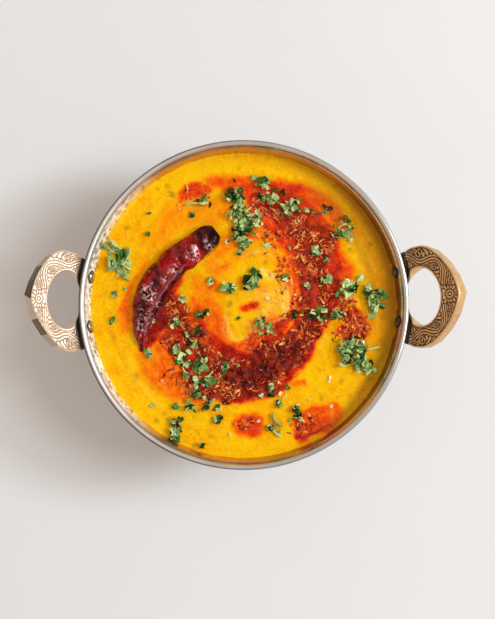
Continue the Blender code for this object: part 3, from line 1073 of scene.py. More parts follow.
@dataclass
class Scrollwork:
    """A running leaf scroll, mirrored about the grip's point: ribs set close, thin grooves between.

    Places are (along the grip in millimetres, across it from -1 at the gap to 1 at the outer edge).
    """

    half_width: float = 5.5
    border: float = 0.84
    depth: float = 0.4 * MM
    groove: float = 0.3
    first: float = 5.6
    wave: float = 11.0
    sway: float = 0.56
    last: float = 50.0
    rib: float = 1.42
    leaf_step: float = 2.1
    least_leaf: float = 0.16
    bays: int = 6
    curl: float = 2.3

    def stem(self, along: float) -> float:
        """Where the running stem is, -1 at the gap's edge to 1 at the outer edge."""
        return -self.sway * math.cos(math.pi * (along - self.first) / self.wave)

    def spoke(self, middle: Pair, angle: float, reach: float) -> Pair:
        """The place that lies so far from a middle at an angle, both measured in millimetres."""
        return middle[0] + reach * math.cos(angle), middle[1] + reach * math.sin(angle) / self.half_width

    def eye(self) -> list[Line]:
        """The eye at the grip's point, the petals fanned out beyond it and the curls inside it.

        Returns:
            The lines.
        """
        lines = [
            [(0.0, 0.34), (1.3, 0.24), (1.9, 0.0), (1.2, -0.22), (0.0, -0.36)],
            [(0.0, 0.08), (0.0, -0.1)],
            [(0.4, -0.68), (1.6, -0.74), (2.4, -0.58), (1.8, -0.44), (1.2, -0.52)],
            [(2.5, -0.28), (3.4, -0.5), (4.4, -0.42)],
            [(3.3, -0.76), (4.6, -0.7)],
        ]
        for turn in range(0, 110, 24):
            reaches = (2.9, 4.2) if turn else (2.6, 3.9)
            lines.append([self.spoke((0.0, 0.0), math.radians(90.0 - turn), reach) for reach in reaches])
        return lines

    def stems(self) -> list[Line]:
        """Three ribs side by side, swinging from border to border.

        Returns:
            The lines.
        """
        lines = []
        for shift in (-self.rib, 0.0, self.rib):
            line = []
            for along in np.arange(self.first, self.last, self.wave / 8.0):
                rise = (self.stem(along + 0.1) - self.stem(along - 0.1)) * self.half_width
                line.append(self.spoke((along, self.stem(along)), math.pi / 2 + math.atan(rise / 0.2), shift))
            lines.append(line)
        return lines

    def leaves(self) -> list[Line]:
        """Flutes that spring from the stem and bend over to the borders.

        Returns:
            The lines.
        """
        lines = []
        for side in (-1.0, 1.0):
            for along in np.arange(self.first - 0.8, self.last, self.leaf_step):
                foot = self.stem(along) + side * 1.8 * self.rib / self.half_width
                room = (side * self.border - foot) * side
                if room > self.least_leaf:
                    reach = 1.4 + 2.6 * room
                    middle = (along + 0.2 * reach, foot + side * 0.5 * room)
                    lines.append([(along, foot), middle, (along + reach, foot + side * 0.95 * room)])
        return lines

    def curls(self) -> list[Line]:
        """A spiral in each bay between the stem and a border.

        Returns:
            The lines.
        """
        lines = []
        for bay in range(self.bays):
            side = 1.0 if bay % 2 == 0 else -1.0
            middle = (self.first + self.wave * bay + 0.6, side * 0.34)
            spiral = [(side * math.radians(turn - 100.0), 1.0 - turn / 620.0) for turn in range(0, 560, 40)]
            lines.append([self.spoke(middle, angle, self.curl * share) for angle, share in spiral])
        return lines

    def height(self, along: Array, across: Array) -> Array:
        """Height of the relief, 0 in the grooves and 1 on the ribs and borders.

        Args:
            along: Distance from the grip's point, in millimetres, negative towards the front.
            across: -1 at the gap's edge to 1 at the outer edge.

        Returns:
            The heights.
        """
        far = np.abs(along)
        nearest, second = np.full(far.shape, 9.0), np.full(far.shape, 9.0)
        for stroke in self.eye() + self.stems() + self.leaves() + self.curls():
            line = curve_through(stroke, 4) if len(stroke) > 2 else np.array(stroke)
            line = line * (1.0, self.half_width)
            low, high = line[:, 0].min() - 3.0, line[:, 0].max() + 3.0
            near = np.nonzero((far >= low) & (far <= high))[0]
            distance, _ = nearest_on_line(far[near], across[near] * self.half_width, line)
            second[near] = np.minimum(second[near], np.maximum(distance, nearest[near]))
            nearest[near] = np.minimum(nearest[near], distance)
        # halfway between two ribs runs a groove, and another one along each border
        between = smooth_step(1.35 - (second - nearest) / (2.0 * self.groove))
        between *= smooth_step((nearest - 0.1) / 0.15)
        edge = (self.border - np.abs(across)) * self.half_width
        rim = smooth_step(1.35 - np.abs(edge - self.groove) / self.groove)
        crown = 0.6 * np.clip(nearest / self.rib, 0.0, 1.0) ** 1.6
        return 1.0 - np.maximum(smooth_step(edge / self.groove) * np.maximum(between, crown), 0.8 * rim)


@dataclass
class Handle:
    """A ring-shaped brass casting, its bar against the wall and its grip tilted up and outwards.

    Turns are angles in plan from the grip's point, and angles in degrees where a field says so.
    """

    name: str
    node: str
    side: Side
    finish: CastBrass
    reach: float
    lean_degrees: float
    tilt_degrees: float
    twist_degrees: float
    skew: float
    point_shift: float
    gap_shift: float = 0.0
    # painted shade on each filed flat of the outer side, at the back and the front
    back_facet_shade: tuple[float, ...] = (0.1, 0.1, 0.15, 0.2, 0.3, 0.4)
    front_facet_shade: tuple[float, ...] = (0.1, 0.15, 0.1, 0.2, 0.3, 0.4)
    thickness: float = 7.0 * MM
    neck_drop: float = 7.0 * MM
    bend_start: float = 83.0 * MM
    bend_length: float = 4.0 * MM
    widest: float = 91.3 * MM
    inward: float = 24.0 * MM
    half_width: float = 25.7 * MM
    fullness: float = 1.54
    gap_widest: float = 90.5 * MM
    gap_reach: float = 8.9 * MM
    gap_inward: float = 7.8 * MM
    gap_half_width: float = 14.6 * MM
    point: float = 0.3 * MM
    # painted shade darkens the casting inside this distance from the axis
    painted_shade_to: float = 86.0 * MM
    stations: int = 560
    face_cells: int = 58
    corners: tuple[float, ...] = (0.0, 28.0, 47.0, 66.0, 90.0, 125.0, 180.0)
    scrollwork: Scrollwork = field(default_factory=Scrollwork)

    def outer(self, turn: Array) -> tuple[Array, Array]:
        """The face's outer edge in plan, as (out, across), at some turns.

        Args:
            turn: Places round the ring in radians, 0 at the grip's point.

        Returns:
            The distances outwards and across, in metres.
        """
        cos, sin = np.cos(turn), np.sin(turn)
        power = 2.0 / self.fullness
        full = np.copysign(np.abs(sin) ** power, sin)
        out = self.widest + np.where(cos < 0.0, self.inward * cos, self.reach * np.abs(cos) ** power)
        across = self.half_width * np.where(cos < 0.0, sin, full)
        return out + self.skew * across, across

    def inner(self, turn: Array) -> tuple[Array, Array]:
        """The finger gap's edge in plan.

        Args:
            turn: Places round the ring in radians, 0 at the grip's point.

        Returns:
            The distances outwards and across, in metres.
        """
        cos, sin = np.cos(turn), np.sin(turn)
        out = self.gap_widest + np.where(cos < 0.0, self.gap_inward, self.gap_reach) * cos
        return out, self.gap_half_width * sin + self.gap_shift

    def flat_at(self, turn: Array) -> tuple[Array, Array]:
        """The corners between the filed flats, in radians, and which flat each turn is on.

        Args:
            turn: Places round the ring in radians, 0 at the grip's point.

        Returns:
            The corners' angles and the flats' numbers.
        """
        corners = np.radians(self.corners)
        found = np.searchsorted(corners, np.abs(turn), side="right") - 1
        return corners, np.clip(found, 0, len(corners) - 2)

    def filed(self, turn: Array) -> list[Array]:
        """The lower outer edge in plan, filed flat between the corners.

        Args:
            turn: Places round the ring in radians, 0 at the grip's point.

        Returns:
            The distances outwards and across, in metres.
        """
        sign = np.where(turn < 0.0, -1.0, 1.0)
        corners, flat = self.flat_at(turn)
        share = (np.abs(turn) - corners[flat]) / (corners[flat + 1] - corners[flat])
        ends = []
        for corner in (corners[flat], corners[flat + 1]):
            out, across = self.outer(sign * corner)
            at_point = corner == 0.0
            ends.append((out + self.point * at_point, across + self.point_shift * at_point))
        return [first + (second - first) * share for first, second in zip(*ends)]

    def bent(self, out: Array, across: Array, up: Array) -> Array:
        """Bends the flat plan upwards beyond the rim: a level neck, then the tilted plate.

        Args:
            out: Distances out from the bowl's axis, in plan.
            across: Distances across, towards the back.
            up: Heights above the plate's middle.

        Returns:
            The points, one row each.
        """
        full_tilt, length = math.radians(self.tilt_degrees), self.bend_length
        reach = np.maximum(0.0, out - self.bend_start)
        tilt = full_tilt * np.minimum(1.0, reach / length)
        twist = math.radians(self.twist_degrees) * np.minimum(1.0, reach / (4.0 * length))
        rise = np.where(reach > length, reach - length / 2.0, reach**2 / (2.0 * length))
        height = Karahi().height - self.neck_drop + math.tan(full_tilt) * rise - across * np.tan(twist)
        sides = [out - up * np.sin(tilt), across + up * np.sin(twist), height + up * np.cos(tilt)]
        return np.stack(sides, axis=-1)

    def walk(self) -> list[tuple[float, float, str]]:
        """The way round the section: (place between gap and outer edge, height share, part).

        Returns:
            The steps, in order.
        """
        steps = [(0.0, level, "gap") for level in np.linspace(-0.86, 0.78, 7)]
        steps += [(0.0, 0.86, "gap"), (0.01, 0.93, "gap"), (0.026, 0.975, "gap")]
        steps += [(place, 1.0, "face") for place in np.linspace(0.05, 0.925, self.face_cells)]
        steps += [(0.95, 0.965, "side"), (0.978, 0.88, "side"), (1.0, 0.79, "side")]
        steps += [(1.0, level, "side") for level in np.linspace(0.74, -0.86, 8)]
        return steps + [(place, -1.0, "under") for place in np.linspace(0.95, 0.05, 8)]

    def spots(self, around: Array, along: Array) -> tuple[Array, Array, Array, Array]:
        """Where the skin's points are.

        Args:
            around: Shares of the way round the section.
            along: Shares of the way round the ring.

        Returns:
            Their places, height shares and parts, as walk gives them, and their turns.
        """
        steps = self.walk()
        index = np.rint(around * len(steps)).astype(int) % len(steps)
        place, level, part = (np.array(values)[index] for values in zip(*steps))
        return place, level, part, (along - 0.5) * math.tau

    def along_face(self, turn: Array) -> Array:
        """Distance along the middle of the face from the grip's point, in millimetres, signed.

        Args:
            turn: Places round the ring in radians, 0 at the grip's point.

        Returns:
            The distances.
        """
        fine = np.linspace(-math.pi, math.pi, 721)
        out, across = ((outer + inner) / 2.0 for outer, inner in zip(self.outer(fine), self.inner(fine)))
        middle = self.bent(out, across, np.zeros_like(out))
        length = np.concatenate([[0.0], np.cumsum(np.linalg.norm(np.diff(middle, axis=0), axis=1))])
        length -= np.interp(0.0, fine, length)
        return np.interp(turn, fine, length) / MM

    def dirt(self, around: Array, along: Array) -> Array:
        """Depth of the scrollwork's grooves, where dirt is caught, 0 to 1; 0 off the face.

        Args:
            around: Shares of the way round the section.
            along: Shares of the way round the ring.

        Returns:
            The depths.
        """
        place, _, part, turn = self.spots(around, along)
        face = part == "face"
        height = np.ones_like(around)
        height[face] = self.scrollwork.height(self.along_face(turn[face]), 2.0 * place[face] - 1.0)
        return 1.0 - height

    def painted_shade(self, around: Array, along: Array) -> Array:
        """How much painted shade darkens the casting between it and the rim, 0 to 1."""
        points = self.skin(around, along)
        return smooth_step((self.painted_shade_to - np.hypot(points[:, 0], points[:, 1])) / (1.4 * MM))

    def painted_facet_shade(self, around: Array, along: Array) -> Array:
        """How much painted shade darkens the outer side, one tone to each filed flat.

        Args:
            around: Shares of the way round the section.
            along: Shares of the way round the ring.

        Returns:
            How dark, 0 to 1.
        """
        _, _, part, turn = self.spots(around, along)
        _, flat = self.flat_at(turn)
        tones = np.where(turn > 0.0, np.array(self.back_facet_shade)[flat], np.array(self.front_facet_shade)[flat])
        return np.where(part == "side", tones, 0.0)

    def skin(self, around: Array, along: Array) -> Array:
        """Points of the casting's skin.

        Args:
            around: Shares of the way round the section.
            along: Shares of the way round the ring.

        Returns:
            The points, one row each.
        """
        place, level, _, turn = self.spots(around, along)
        inner, face, filed = self.inner(turn), self.outer(turn), self.filed(turn)
        drop = np.clip((1.0 - level) / 2.0, 0.0, 1.0)
        edge = [upper + (lower - upper) * drop for upper, lower in zip(face, filed)]
        out, across = (near + (far - near) * place for near, far in zip(inner, edge))
        up = self.thickness / 2.0 * level - self.scrollwork.depth * self.dirt(around, along)
        return self.bent(out, across, up)

    def build(self, bowl: Karahi) -> Piece:
        """The casting, cut back where it lies against the bowl's wall.

        Args:
            bowl: The bowl that it is riveted to.

        Returns:
            The handle.
        """
        masks = {"groove": self.dirt, "painted_shade": self.painted_shade, "painted_facet_shade": self.painted_facet_shade}
        bm = wrapped_sheet(len(self.walk()), self.stations, self.skin, masks)
        lean = Matrix.Rotation(math.radians(self.lean_degrees), 4, "Z")
        bm.transform(lean @ Matrix.Diagonal((self.side.value, 1.0, 1.0, 1.0)))
        face_outwards(bm)
        handle = as_object(self.name, bm, 40.0)
        skin = bowl.wall_line(0.05 * MM, 0.05 * MM, bowl.height - 2.0 * bowl.bead_radius, 16)
        return cut_by(handle, as_object("wall_space", turned(skin + [(0.0, skin[-1][1])], 160)))

    def dress(self, groups: SharedGroups, bowl: Karahi) -> Piece:
        """Builds the handle and puts its brass on."""
        return put_on(self.build(bowl), self.finish.material(groups), [self.node])


@dataclass
class Rivet:
    """A rivet whose domed head shows inside the wall."""

    name: str
    node: str
    azimuth: float
    drop: float = 5.2 * MM
    shank_radius: float = 1.5 * MM
    bite: float = 2.2 * MM
    head_radius: float = 2.6 * MM
    head_height: float = 1.2 * MM
    clearance: float = 0.18 * MM
    segments: int = 40

    def seat(self, bowl: Karahi) -> Matrix:
        """Where the rivet sits: square to the wall's inner skin.

        Args:
            bowl: The bowl that the rivet goes through.

        Returns:
            The rivet's place and turn.
        """
        height = bowl.height - self.drop
        centre, radius = bowl.wall_circle()
        slope = math.asin((centre[1] - height) / radius)
        return (
            Matrix.Rotation(self.azimuth, 4, "Z")
            @ Matrix.Translation((bowl.radius_at(height, bowl.sheet), 0.0, height))
            @ Matrix.Rotation(math.pi / 2 + slope, 4, "Y")
        )

    def build(self, bowl: Karahi) -> Piece:
        """The rivet, turned about Z and then put in its place in the wall.

        Args:
            bowl: The bowl that it goes through.

        Returns:
            The rivet.
        """
        end, low = bowl.sheet + self.bite, -self.clearance
        section = [(0.0, end), (self.shank_radius, end), (self.shank_radius, 0.0), (self.head_radius, 0.0)]
        section.append((self.head_radius, low))
        for turn in np.radians(np.linspace(0.0, 90.0, 14)):
            section.append((self.head_radius * math.cos(turn), low - self.head_height * math.sin(turn)))
        bm = turned(section, self.segments)
        edge = [min(1.0, math.hypot(*vert.co.xy) / self.head_radius) for vert in bm.verts]
        keep_values(bm, "edge", np.array(edge))
        bm.transform(self.seat(bowl))
        return as_object(self.name, bm, 35.0)

    def dress(self, finish: Material, bowl: Karahi) -> Piece:
        """Builds the rivet and puts its finish on."""
        return put_on(self.build(bowl), finish, [self.node])


# ---------------------------------------------------------------- the dal


class Stain:
    """Something that lies along a line: its corners are (x, y, half width, amount), in millimetres."""

    def __init__(self, soft: float, *corners: tuple[float, ...]) -> None:
        """Keeps the width over which it fades out, and its corners."""
        self.soft = soft
        self.corners = curve_through(corners, 4) if len(corners) > 2 else np.array(corners)

    def amount(self, x: Array, y: Array) -> Array:
        """How much of it lies at some points, given in millimetres.

        Args:
            x: Places to the right, in millimetres.
            y: Places to the back, in millimetres.

        Returns:
            The amounts.
        """
        distance, place = nearest_on_line(x, y, self.corners[:, :2])
        index = np.clip(place.astype(int), 0, len(self.corners) - 2)
        share = place - index
        start, end = self.corners[index].T, self.corners[index + 1].T
        width, strength = start[2:] + (end[2:] - start[2:]) * share
        return strength * smooth_step(0.5 + (width - distance) / self.soft)


@dataclass
class Dal:
    """The dal up to its level: a spooned ring that holds the tempering, and a mound inside it."""

    depth: float = 8.0 * MM
    swirl_centre: Pair = (5.0, 4.0)
    channel_radius: float = 41.0
    channel_width: float = 9.0
    channel_depth: float = 0.9 * MM
    channel_sway: float = 4.0
    channel_bearing: float = 0.6
    mound_radius: float = 22.5
    mound_height: float = 0.9 * MM
    swirled_from: float = 48.0
    cells: int = 280
    wall_steps: int = 7
    wall_bite: float = 0.2 * MM
    seed: int = 11
    pools_and_shade: tuple[Stain, ...] = (
        # the tempering poured in a ring
        Stain(5, (-36, 2, 5, 0.6), (-34, -10, 7, 0.68), (-28, -24, 9, 0.72), (-17, -36, 10, 0.78),
              (-2, -40, 10, 0.82), (13, -35, 11, 0.82), (25, -24, 10, 0.8), (33, -12, 9, 0.78),
              (38, 1, 10, 0.76), (39, 14, 12, 0.74), (36, 28, 13, 0.64), (29, 42, 12, 0.64),
              (16, 53, 10, 0.68), (0, 60, 6, 0.56), (-18, 63, 3, 0.46)),
        # where it lies deepest
        Stain(7, (-30, -6, 3, 0.8), (-27, -18, 4, 0.82), (-17, -28, 5, 0.86), (-6, -36, 7, 0.95),
              (6, -37, 8, 1.0), (16, -29, 7, 1.0), (26, -20, 6, 0.9), (32, -8, 6, 0.82), (33, 5, 6, 0.74),
              (32, 18, 6, 0.7), (33, 30, 8, 0.66), (27, 39, 8, 0.68), (16, 47, 7, 0.72), (6, 54, 6, 0.72)),
        # its smooth red inner edge
        Stain(5, (-26, 4, 2, 0.5), (-22, -10, 4, 0.62), (-12, -22, 5, 0.78), (2, -27, 4, 0.84),
              (12, -20, 4, 0.76), (20, -9, 4, 0.68), (25, 4, 3, 0.6), (25, 22, 3, 0.6), (17, 36, 3, 0.62),
              (4, 45, 4, 0.6)),
        # its orange edge towards the middle
        Stain(9, (-24, 12, 5, 0.34), (-18, -4, 8, 0.42), (-12, -16, 8, 0.5), (0, -21, 7, 0.52),
              (10, -14, 6, 0.5), (18, -6, 6, 0.46), (22, 8, 5, 0.42), (21, 24, 6, 0.44), (11, 34, 6, 0.44),
              (-4, 32, 7, 0.38), (-14, 20, 7, 0.34)),
        Stain(8, (-52, -24, 4, 0.3), (-45, -34, 7, 0.4), (-34, -42, 7, 0.44), (-22, -48, 4, 0.46)),
        Stain(6, (-40, -32, 3, 0.48), (-32, -36, 4, 0.56)),
        Stain(4, (-29, 19, 1, 0.5), (-37, 8, 3, 0.8), (-41, -2, 5, 0.92), (-45, -12, 5, 0.92),
              (-50, -21, 3, 0.74)),
        Stain(4, (-44, -15, 3, 0.66), (-38, -21, 4, 0.64), (-33, -27, 4, 0.62)),
        Stain(5, (-45, -19, 3, 0.4), (-42, -26, 4, 0.44), (-37, -33, 4, 0.46)),
        Stain(7, (6, -46, 4, 0.46), (25, -33, 4, 0.5), (38, -17, 3, 0.46)),
        Stain(6, (-3, 11, 2, 0.28), (8, 9, 3, 0.34), (11, 4, 2, 0.34)),
        Stain(5, (4, -9, 2, 0.36), (11, -14, 4, 0.46), (17, -12, 3, 0.46)),
        Stain(6, (-16, 14, 3, 0.3), (-12, 4, 3, 0.28), (-12, -6, 2, 0.3)),
        Stain(10, (-45, 34, 6, 0.24), (-36, 44, 8, 0.27), (-22, 46, 9, 0.27), (-10, 50, 7, 0.3)),
        Stain(6, (-42, 38, 4, 0.32), (-38, 46, 3, 0.36)),
        Stain(4, (-60, -12, 3, 0.38), (-60, -2, 3.5, 0.42), (-57, 10, 2, 0.36), (-50, 22, 2, 0.34)),
        Stain(4, (-34, 51, 1, 0.4), (-30, 57, 3, 0.6), (-24, 59, 4, 0.62), (-18, 58, 2, 0.5)),
        Stain(5, (-1, -62, 5.5, 0.6), (5, -61, 6, 0.6)),
        Stain(5, (30, -65, 5, 0.62), (32, -60, 7, 0.58), (39, -58, 8, 0.54), (45, -55, 6, 0.48)),
        Stain(3, (27, -67, 1.5, 0.86), (34, -66, 1.5, 0.84), (43, -61, 1.5, 0.7)),
        Stain(4, (25, -41, 1.5, 0.5), (31, -40, 1.5, 0.5)),
        Stain(5, (46, -1, 4, 0.56), (55, -6, 5, 0.62), (61, -12, 4, 0.6), (50, -14, 4, 0.6)),
        Stain(6, (18, 60, 4, 0.66), (26, 58, 5, 0.66), (36, 54, 6, 0.52), (44, 48, 5, 0.46),
              (52, 38, 3, 0.4)),
        Stain(6, (44, 26, 6, 0.56), (50, 18, 6, 0.54), (50, 8, 4, 0.52)),
        # painted shade: a faint orange tint along the right wall, where the wall's shadow falls
        Stain(9, (56, -38, 2, 0.1), (64, -22, 3, 0.16), (69, -2, 4, 0.2), (67, 18, 4, 0.2),
              (58, 38, 3, 0.16)),
        Stain(3, (-1, -1, 1.8, 0.7), (6, -0.5, 1.8, 0.66)),
        Stain(4, (-18, 9, 2.5, 0.56), (-16, 12, 2.5, 0.5)),
    )
    clear: tuple[Stain, ...] = (
        Stain(5, (42, -14, 1.5, 0.7), (41, -22, 4, 0.95), (44, -32, 6, 1.0)),
        Stain(4, (-4, -14, 4, 0.95), (-4, -8, 3, 0.8)),
        Stain(6, (18, -2, 4, 0.85), (20, 6, 3, 0.85), (14, 15, 3, 0.6)),
        Stain(4, (-12, 22, 1.5, 0.7), (-2, 29, 1.5, 0.6), (10, 31, 2.5, 0.7), (18, 26, 1.5, 0.5)),
        Stain(4, (54, -1, 2, 0.6), (52, 2, 2, 0.6)),
    )

    # painted shade: the dal darkened brown along the right wall, where the wall's shadow falls
    painted_wall_shade: tuple[Stain, ...] = (
        Stain(9, (26, -73, 0.5, 0.3), (41, -64, 2, 0.5), (54, -52, 2.5, 0.6), (65, -37, 3, 0.72),
              (72, -20, 4, 0.7), (75, -2, 5, 0.64), (74, 18, 5, 0.66), (68, 34, 4, 0.74), (58, 50, 4, 0.7),
              (44, 63, 3, 0.56), (27, 71, 3, 0.42), (10, 76, 2, 0.3), (-14, 75, 1.5, 0.22),
              (-34, 68, 1, 0.12)),
        Stain(12, (60, -26, 2, 0.2), (65, -8, 4, 0.38), (66, 12, 5, 0.42), (60, 32, 5, 0.46),
              (47, 50, 5, 0.46), (32, 63, 3, 0.3)),
    )
    # painted highlights: thin pale streaks where the spoon has folded the clean dal
    highlight_streaks: tuple[Stain, ...] = (
        Stain(8, (3, 9, 3, 0.22), (13, 4, 4, 0.36), (12, -5, 3, 0.3), (4, -12, 2, 0.2)),
        Stain(2, (18, 11, 0.5, 0.6), (19, 5, 0.8, 0.8), (20, -2, 1.3, 0.85)),
        Stain(2, (9, -2, 0.8, 0.7), (12, -5, 0.8, 0.6)),
        Stain(2.4, (10, 17, 1.8, 0.9), (13, 14, 1.4, 0.8), (17, 13, 0.8, 0.6)),
        Stain(2, (9, 6, 0.6, 0.8), (12, 4, 1.4, 0.95), (13, 1, 0.6, 0.6)),
        Stain(2.4, (21, 10, 0.5, 0.5), (22, 3, 1.2, 0.8), (21, -5, 1.0, 0.9), (16, -9, 0.6, 0.6)),
        Stain(2.2, (-1, 24, 0.4, 0.4), (8, 27, 0.6, 0.6), (16, 24, 0.4, 0.4)),
        Stain(2, (-9, -6, 0.6, 0.5), (-8, -13, 0.8, 0.7), (-4, -18, 0.6, 0.6), (2, -16, 0.5, 0.6)),
        Stain(1.4, (0, -7, 0.2, 0.5), (3, -11, 0.3, 0.7), (4, -16, 0.2, 0.5)),
        Stain(1.4, (-10, -8, 0.1, 0.4), (-10.5, -13, 0.3, 0.6), (-8, -18, 0.1, 0.4)),
        Stain(2.4, (9, 17, 1.6, 0.8), (15, 15, 0.8, 0.6)),
        Stain(1.6, (-16, 25, 0.2, 0.4), (-15, 21, 0.2, 0.5), (-16, 16, 0.1, 0.3)),
        Stain(1.8, (24, 12, 0.6, 0.6), (25, 5, 0.4, 0.5)),
        Stain(1.6, (39, -22, 0.1, 0.5), (42, -16, 0.2, 0.6), (43.5, -12, 0.1, 0.4)),
        Stain(1.4, (58, 32, 0.1, 0.4), (60, 24, 0.2, 0.6), (60, 16, 0.1, 0.4)),
        Stain(2.4, (-58, -30, 0.1, 0.2), (-50, -44, 0.4, 0.4), (-40, -54, 0.1, 0.2)),
        Stain(2.4, (-66, 40, 0.1, 0.3), (-60, 48, 0.3, 0.5), (-52, 56, 0.1, 0.3)),
    )

    def __post_init__(self) -> None:
        """Sets up the random fields."""
        self.lumps = Lumps(self.seed)
        self.level = Karahi().height - self.depth

    def stain_and_shade(self, x: Array, y: Array) -> Array:
        """How red the dal is, from 0, clean, to 1, nearly black, at points in metres; a faint arc by the
        right wall is painted shade.

        Args:
            x: Places to the right, in metres.
            y: Places to the back, in metres.

        Returns:
            How red, 0 to 1.
        """
        across, up = x / MM, y / MM
        for size, octaves, sway in ((9 * MM, 3, 1.6), (1.8 * MM, 2, 0.5)):
            across = across + sway * self.lumps.at(x, y, size, octaves)
            up = up + sway * self.lumps.at(y + 0.3, x, size, octaves)
        total = np.zeros_like(x)
        for pool in self.pools_and_shade:
            total = np.maximum(total, pool.amount(across, up))
        for gap in self.clear:
            total *= 1.0 - gap.amount(across, up)
        return np.clip(total * (1.0 + 0.16 * self.lumps.at(x, y, 5 * MM, 3)), 0.0, 1.0)

    def wandering(self, patches: Sequence[Stain], x: Array, y: Array, sway: float) -> Array:
        """How much of some patches lies at points in metres, their edges swayed by some millimetres."""
        shift = sway * self.lumps.at(x, y, 5 * MM, 3)
        return np.max([patch.amount(x / MM + shift, y / MM - shift) for patch in patches], axis=0)

    def height(self, x: Array, y: Array) -> Array:
        """Height of the dal's surface at points in metres.

        Args:
            x: Places to the right, in metres.
            y: Places to the back, in metres.

        Returns:
            The heights, in metres.
        """
        across, up = x / MM - self.swirl_centre[0], y / MM - self.swirl_centre[1]
        from_centre, bearing = np.hypot(across, up), np.arctan2(up, across)
        ring = self.channel_radius + self.channel_sway * np.sin(bearing - self.channel_bearing)
        channel = bell(from_centre - ring, self.channel_width)
        relief = self.mound_height * bell(from_centre, self.mound_radius) - self.channel_depth * channel
        relief += 0.34 * MM * self.lumps.at(x, y, 7 * MM, 3)
        clean = 1.0 - smooth_step((self.stain_and_shade(x, y) - 0.2) / 0.3)
        relief += 0.16 * MM * self.lumps.at(x, y, 2.2 * MM, 2) * clean
        swirl = np.sin(from_centre * 1.05 + 2.2 * bearing + 2.0 * self.lumps.at(x, y, 30 * MM))
        relief += 0.12 * MM * swirl * smooth_step((from_centre - self.swirled_from) / 8.0)
        from_edge = Karahi().radius_at(self.level, Karahi().sheet) / MM - np.hypot(x, y) / MM
        relief *= np.clip(from_edge / self.channel_width, 0.0, 1.0)
        at_wall = self.wetted(from_edge, 0.8)
        return self.level + relief + at_wall + self.wetted(Chilli().outside(x, y) / MM, 0.7)

    @staticmethod
    def wetted(away: Array, reach: float) -> Array:
        """The dal's small rise where it wets the wall or the chilli, its distances in millimetres."""
        return 0.35 * MM * np.exp(-np.maximum(away, 0.0) / reach)

    def build(self, bowl: Karahi) -> Piece:
        """The dal as a closed body that reaches just into the bowl's wall.

        Args:
            bowl: The bowl that it fills.

        Returns:
            The dal, with its stains, flakes' bed, painted shade and painted highlights kept on its points.
        """
        inset = bowl.sheet - self.wall_bite
        wall = bowl.wall_line(inset, inset, self.level, self.wall_steps)
        bm, disc = disc_of(self.cells)
        x, y = (disc * wall[-1][0]).T
        move_points(bm, x, y, self.height(x, y))
        keep_values(bm, "stain_and_shade", self.stain_and_shade(x, y))
        keep_values(bm, "bed", Tempering().thickness(x / MM, y / MM))
        keep_values(bm, "wall_shade", self.wandering(self.painted_wall_shade, x, y, 1.4))
        keep_values(bm, "painted_highlight", self.wandering(self.highlight_streaks, x, y, 1.0))
        rim = [item for item in bm.edges if item.is_boundary]
        for radius, height in wall[-2::-1]:
            if radius < 0.7 * self.channel_radius * MM:
                break
            made = bmesh.ops.extrude_edge_only(bm, edges=rim)["geom"]
            for vert in (item for item in made if isinstance(item, bmesh.types.BMVert)):
                scale = radius / math.hypot(vert.co.x, vert.co.y)
                vert.co = (vert.co.x * scale, vert.co.y * scale, height)
            rim = [item for item in made if isinstance(item, bmesh.types.BMEdge) and item.is_boundary]
        bmesh.ops.holes_fill(bm, edges=rim, sides=0)
        face_outwards(bm)
        return as_object("dal_body", bm)

    def dress(self, groups: SharedGroups, bowl: Karahi) -> Piece:
        """Builds the dal and puts its finish on."""
        return put_on(self.build(bowl), WetDal().material(groups), ["dal"])


# ---------------------------------------------------------------- the chilli


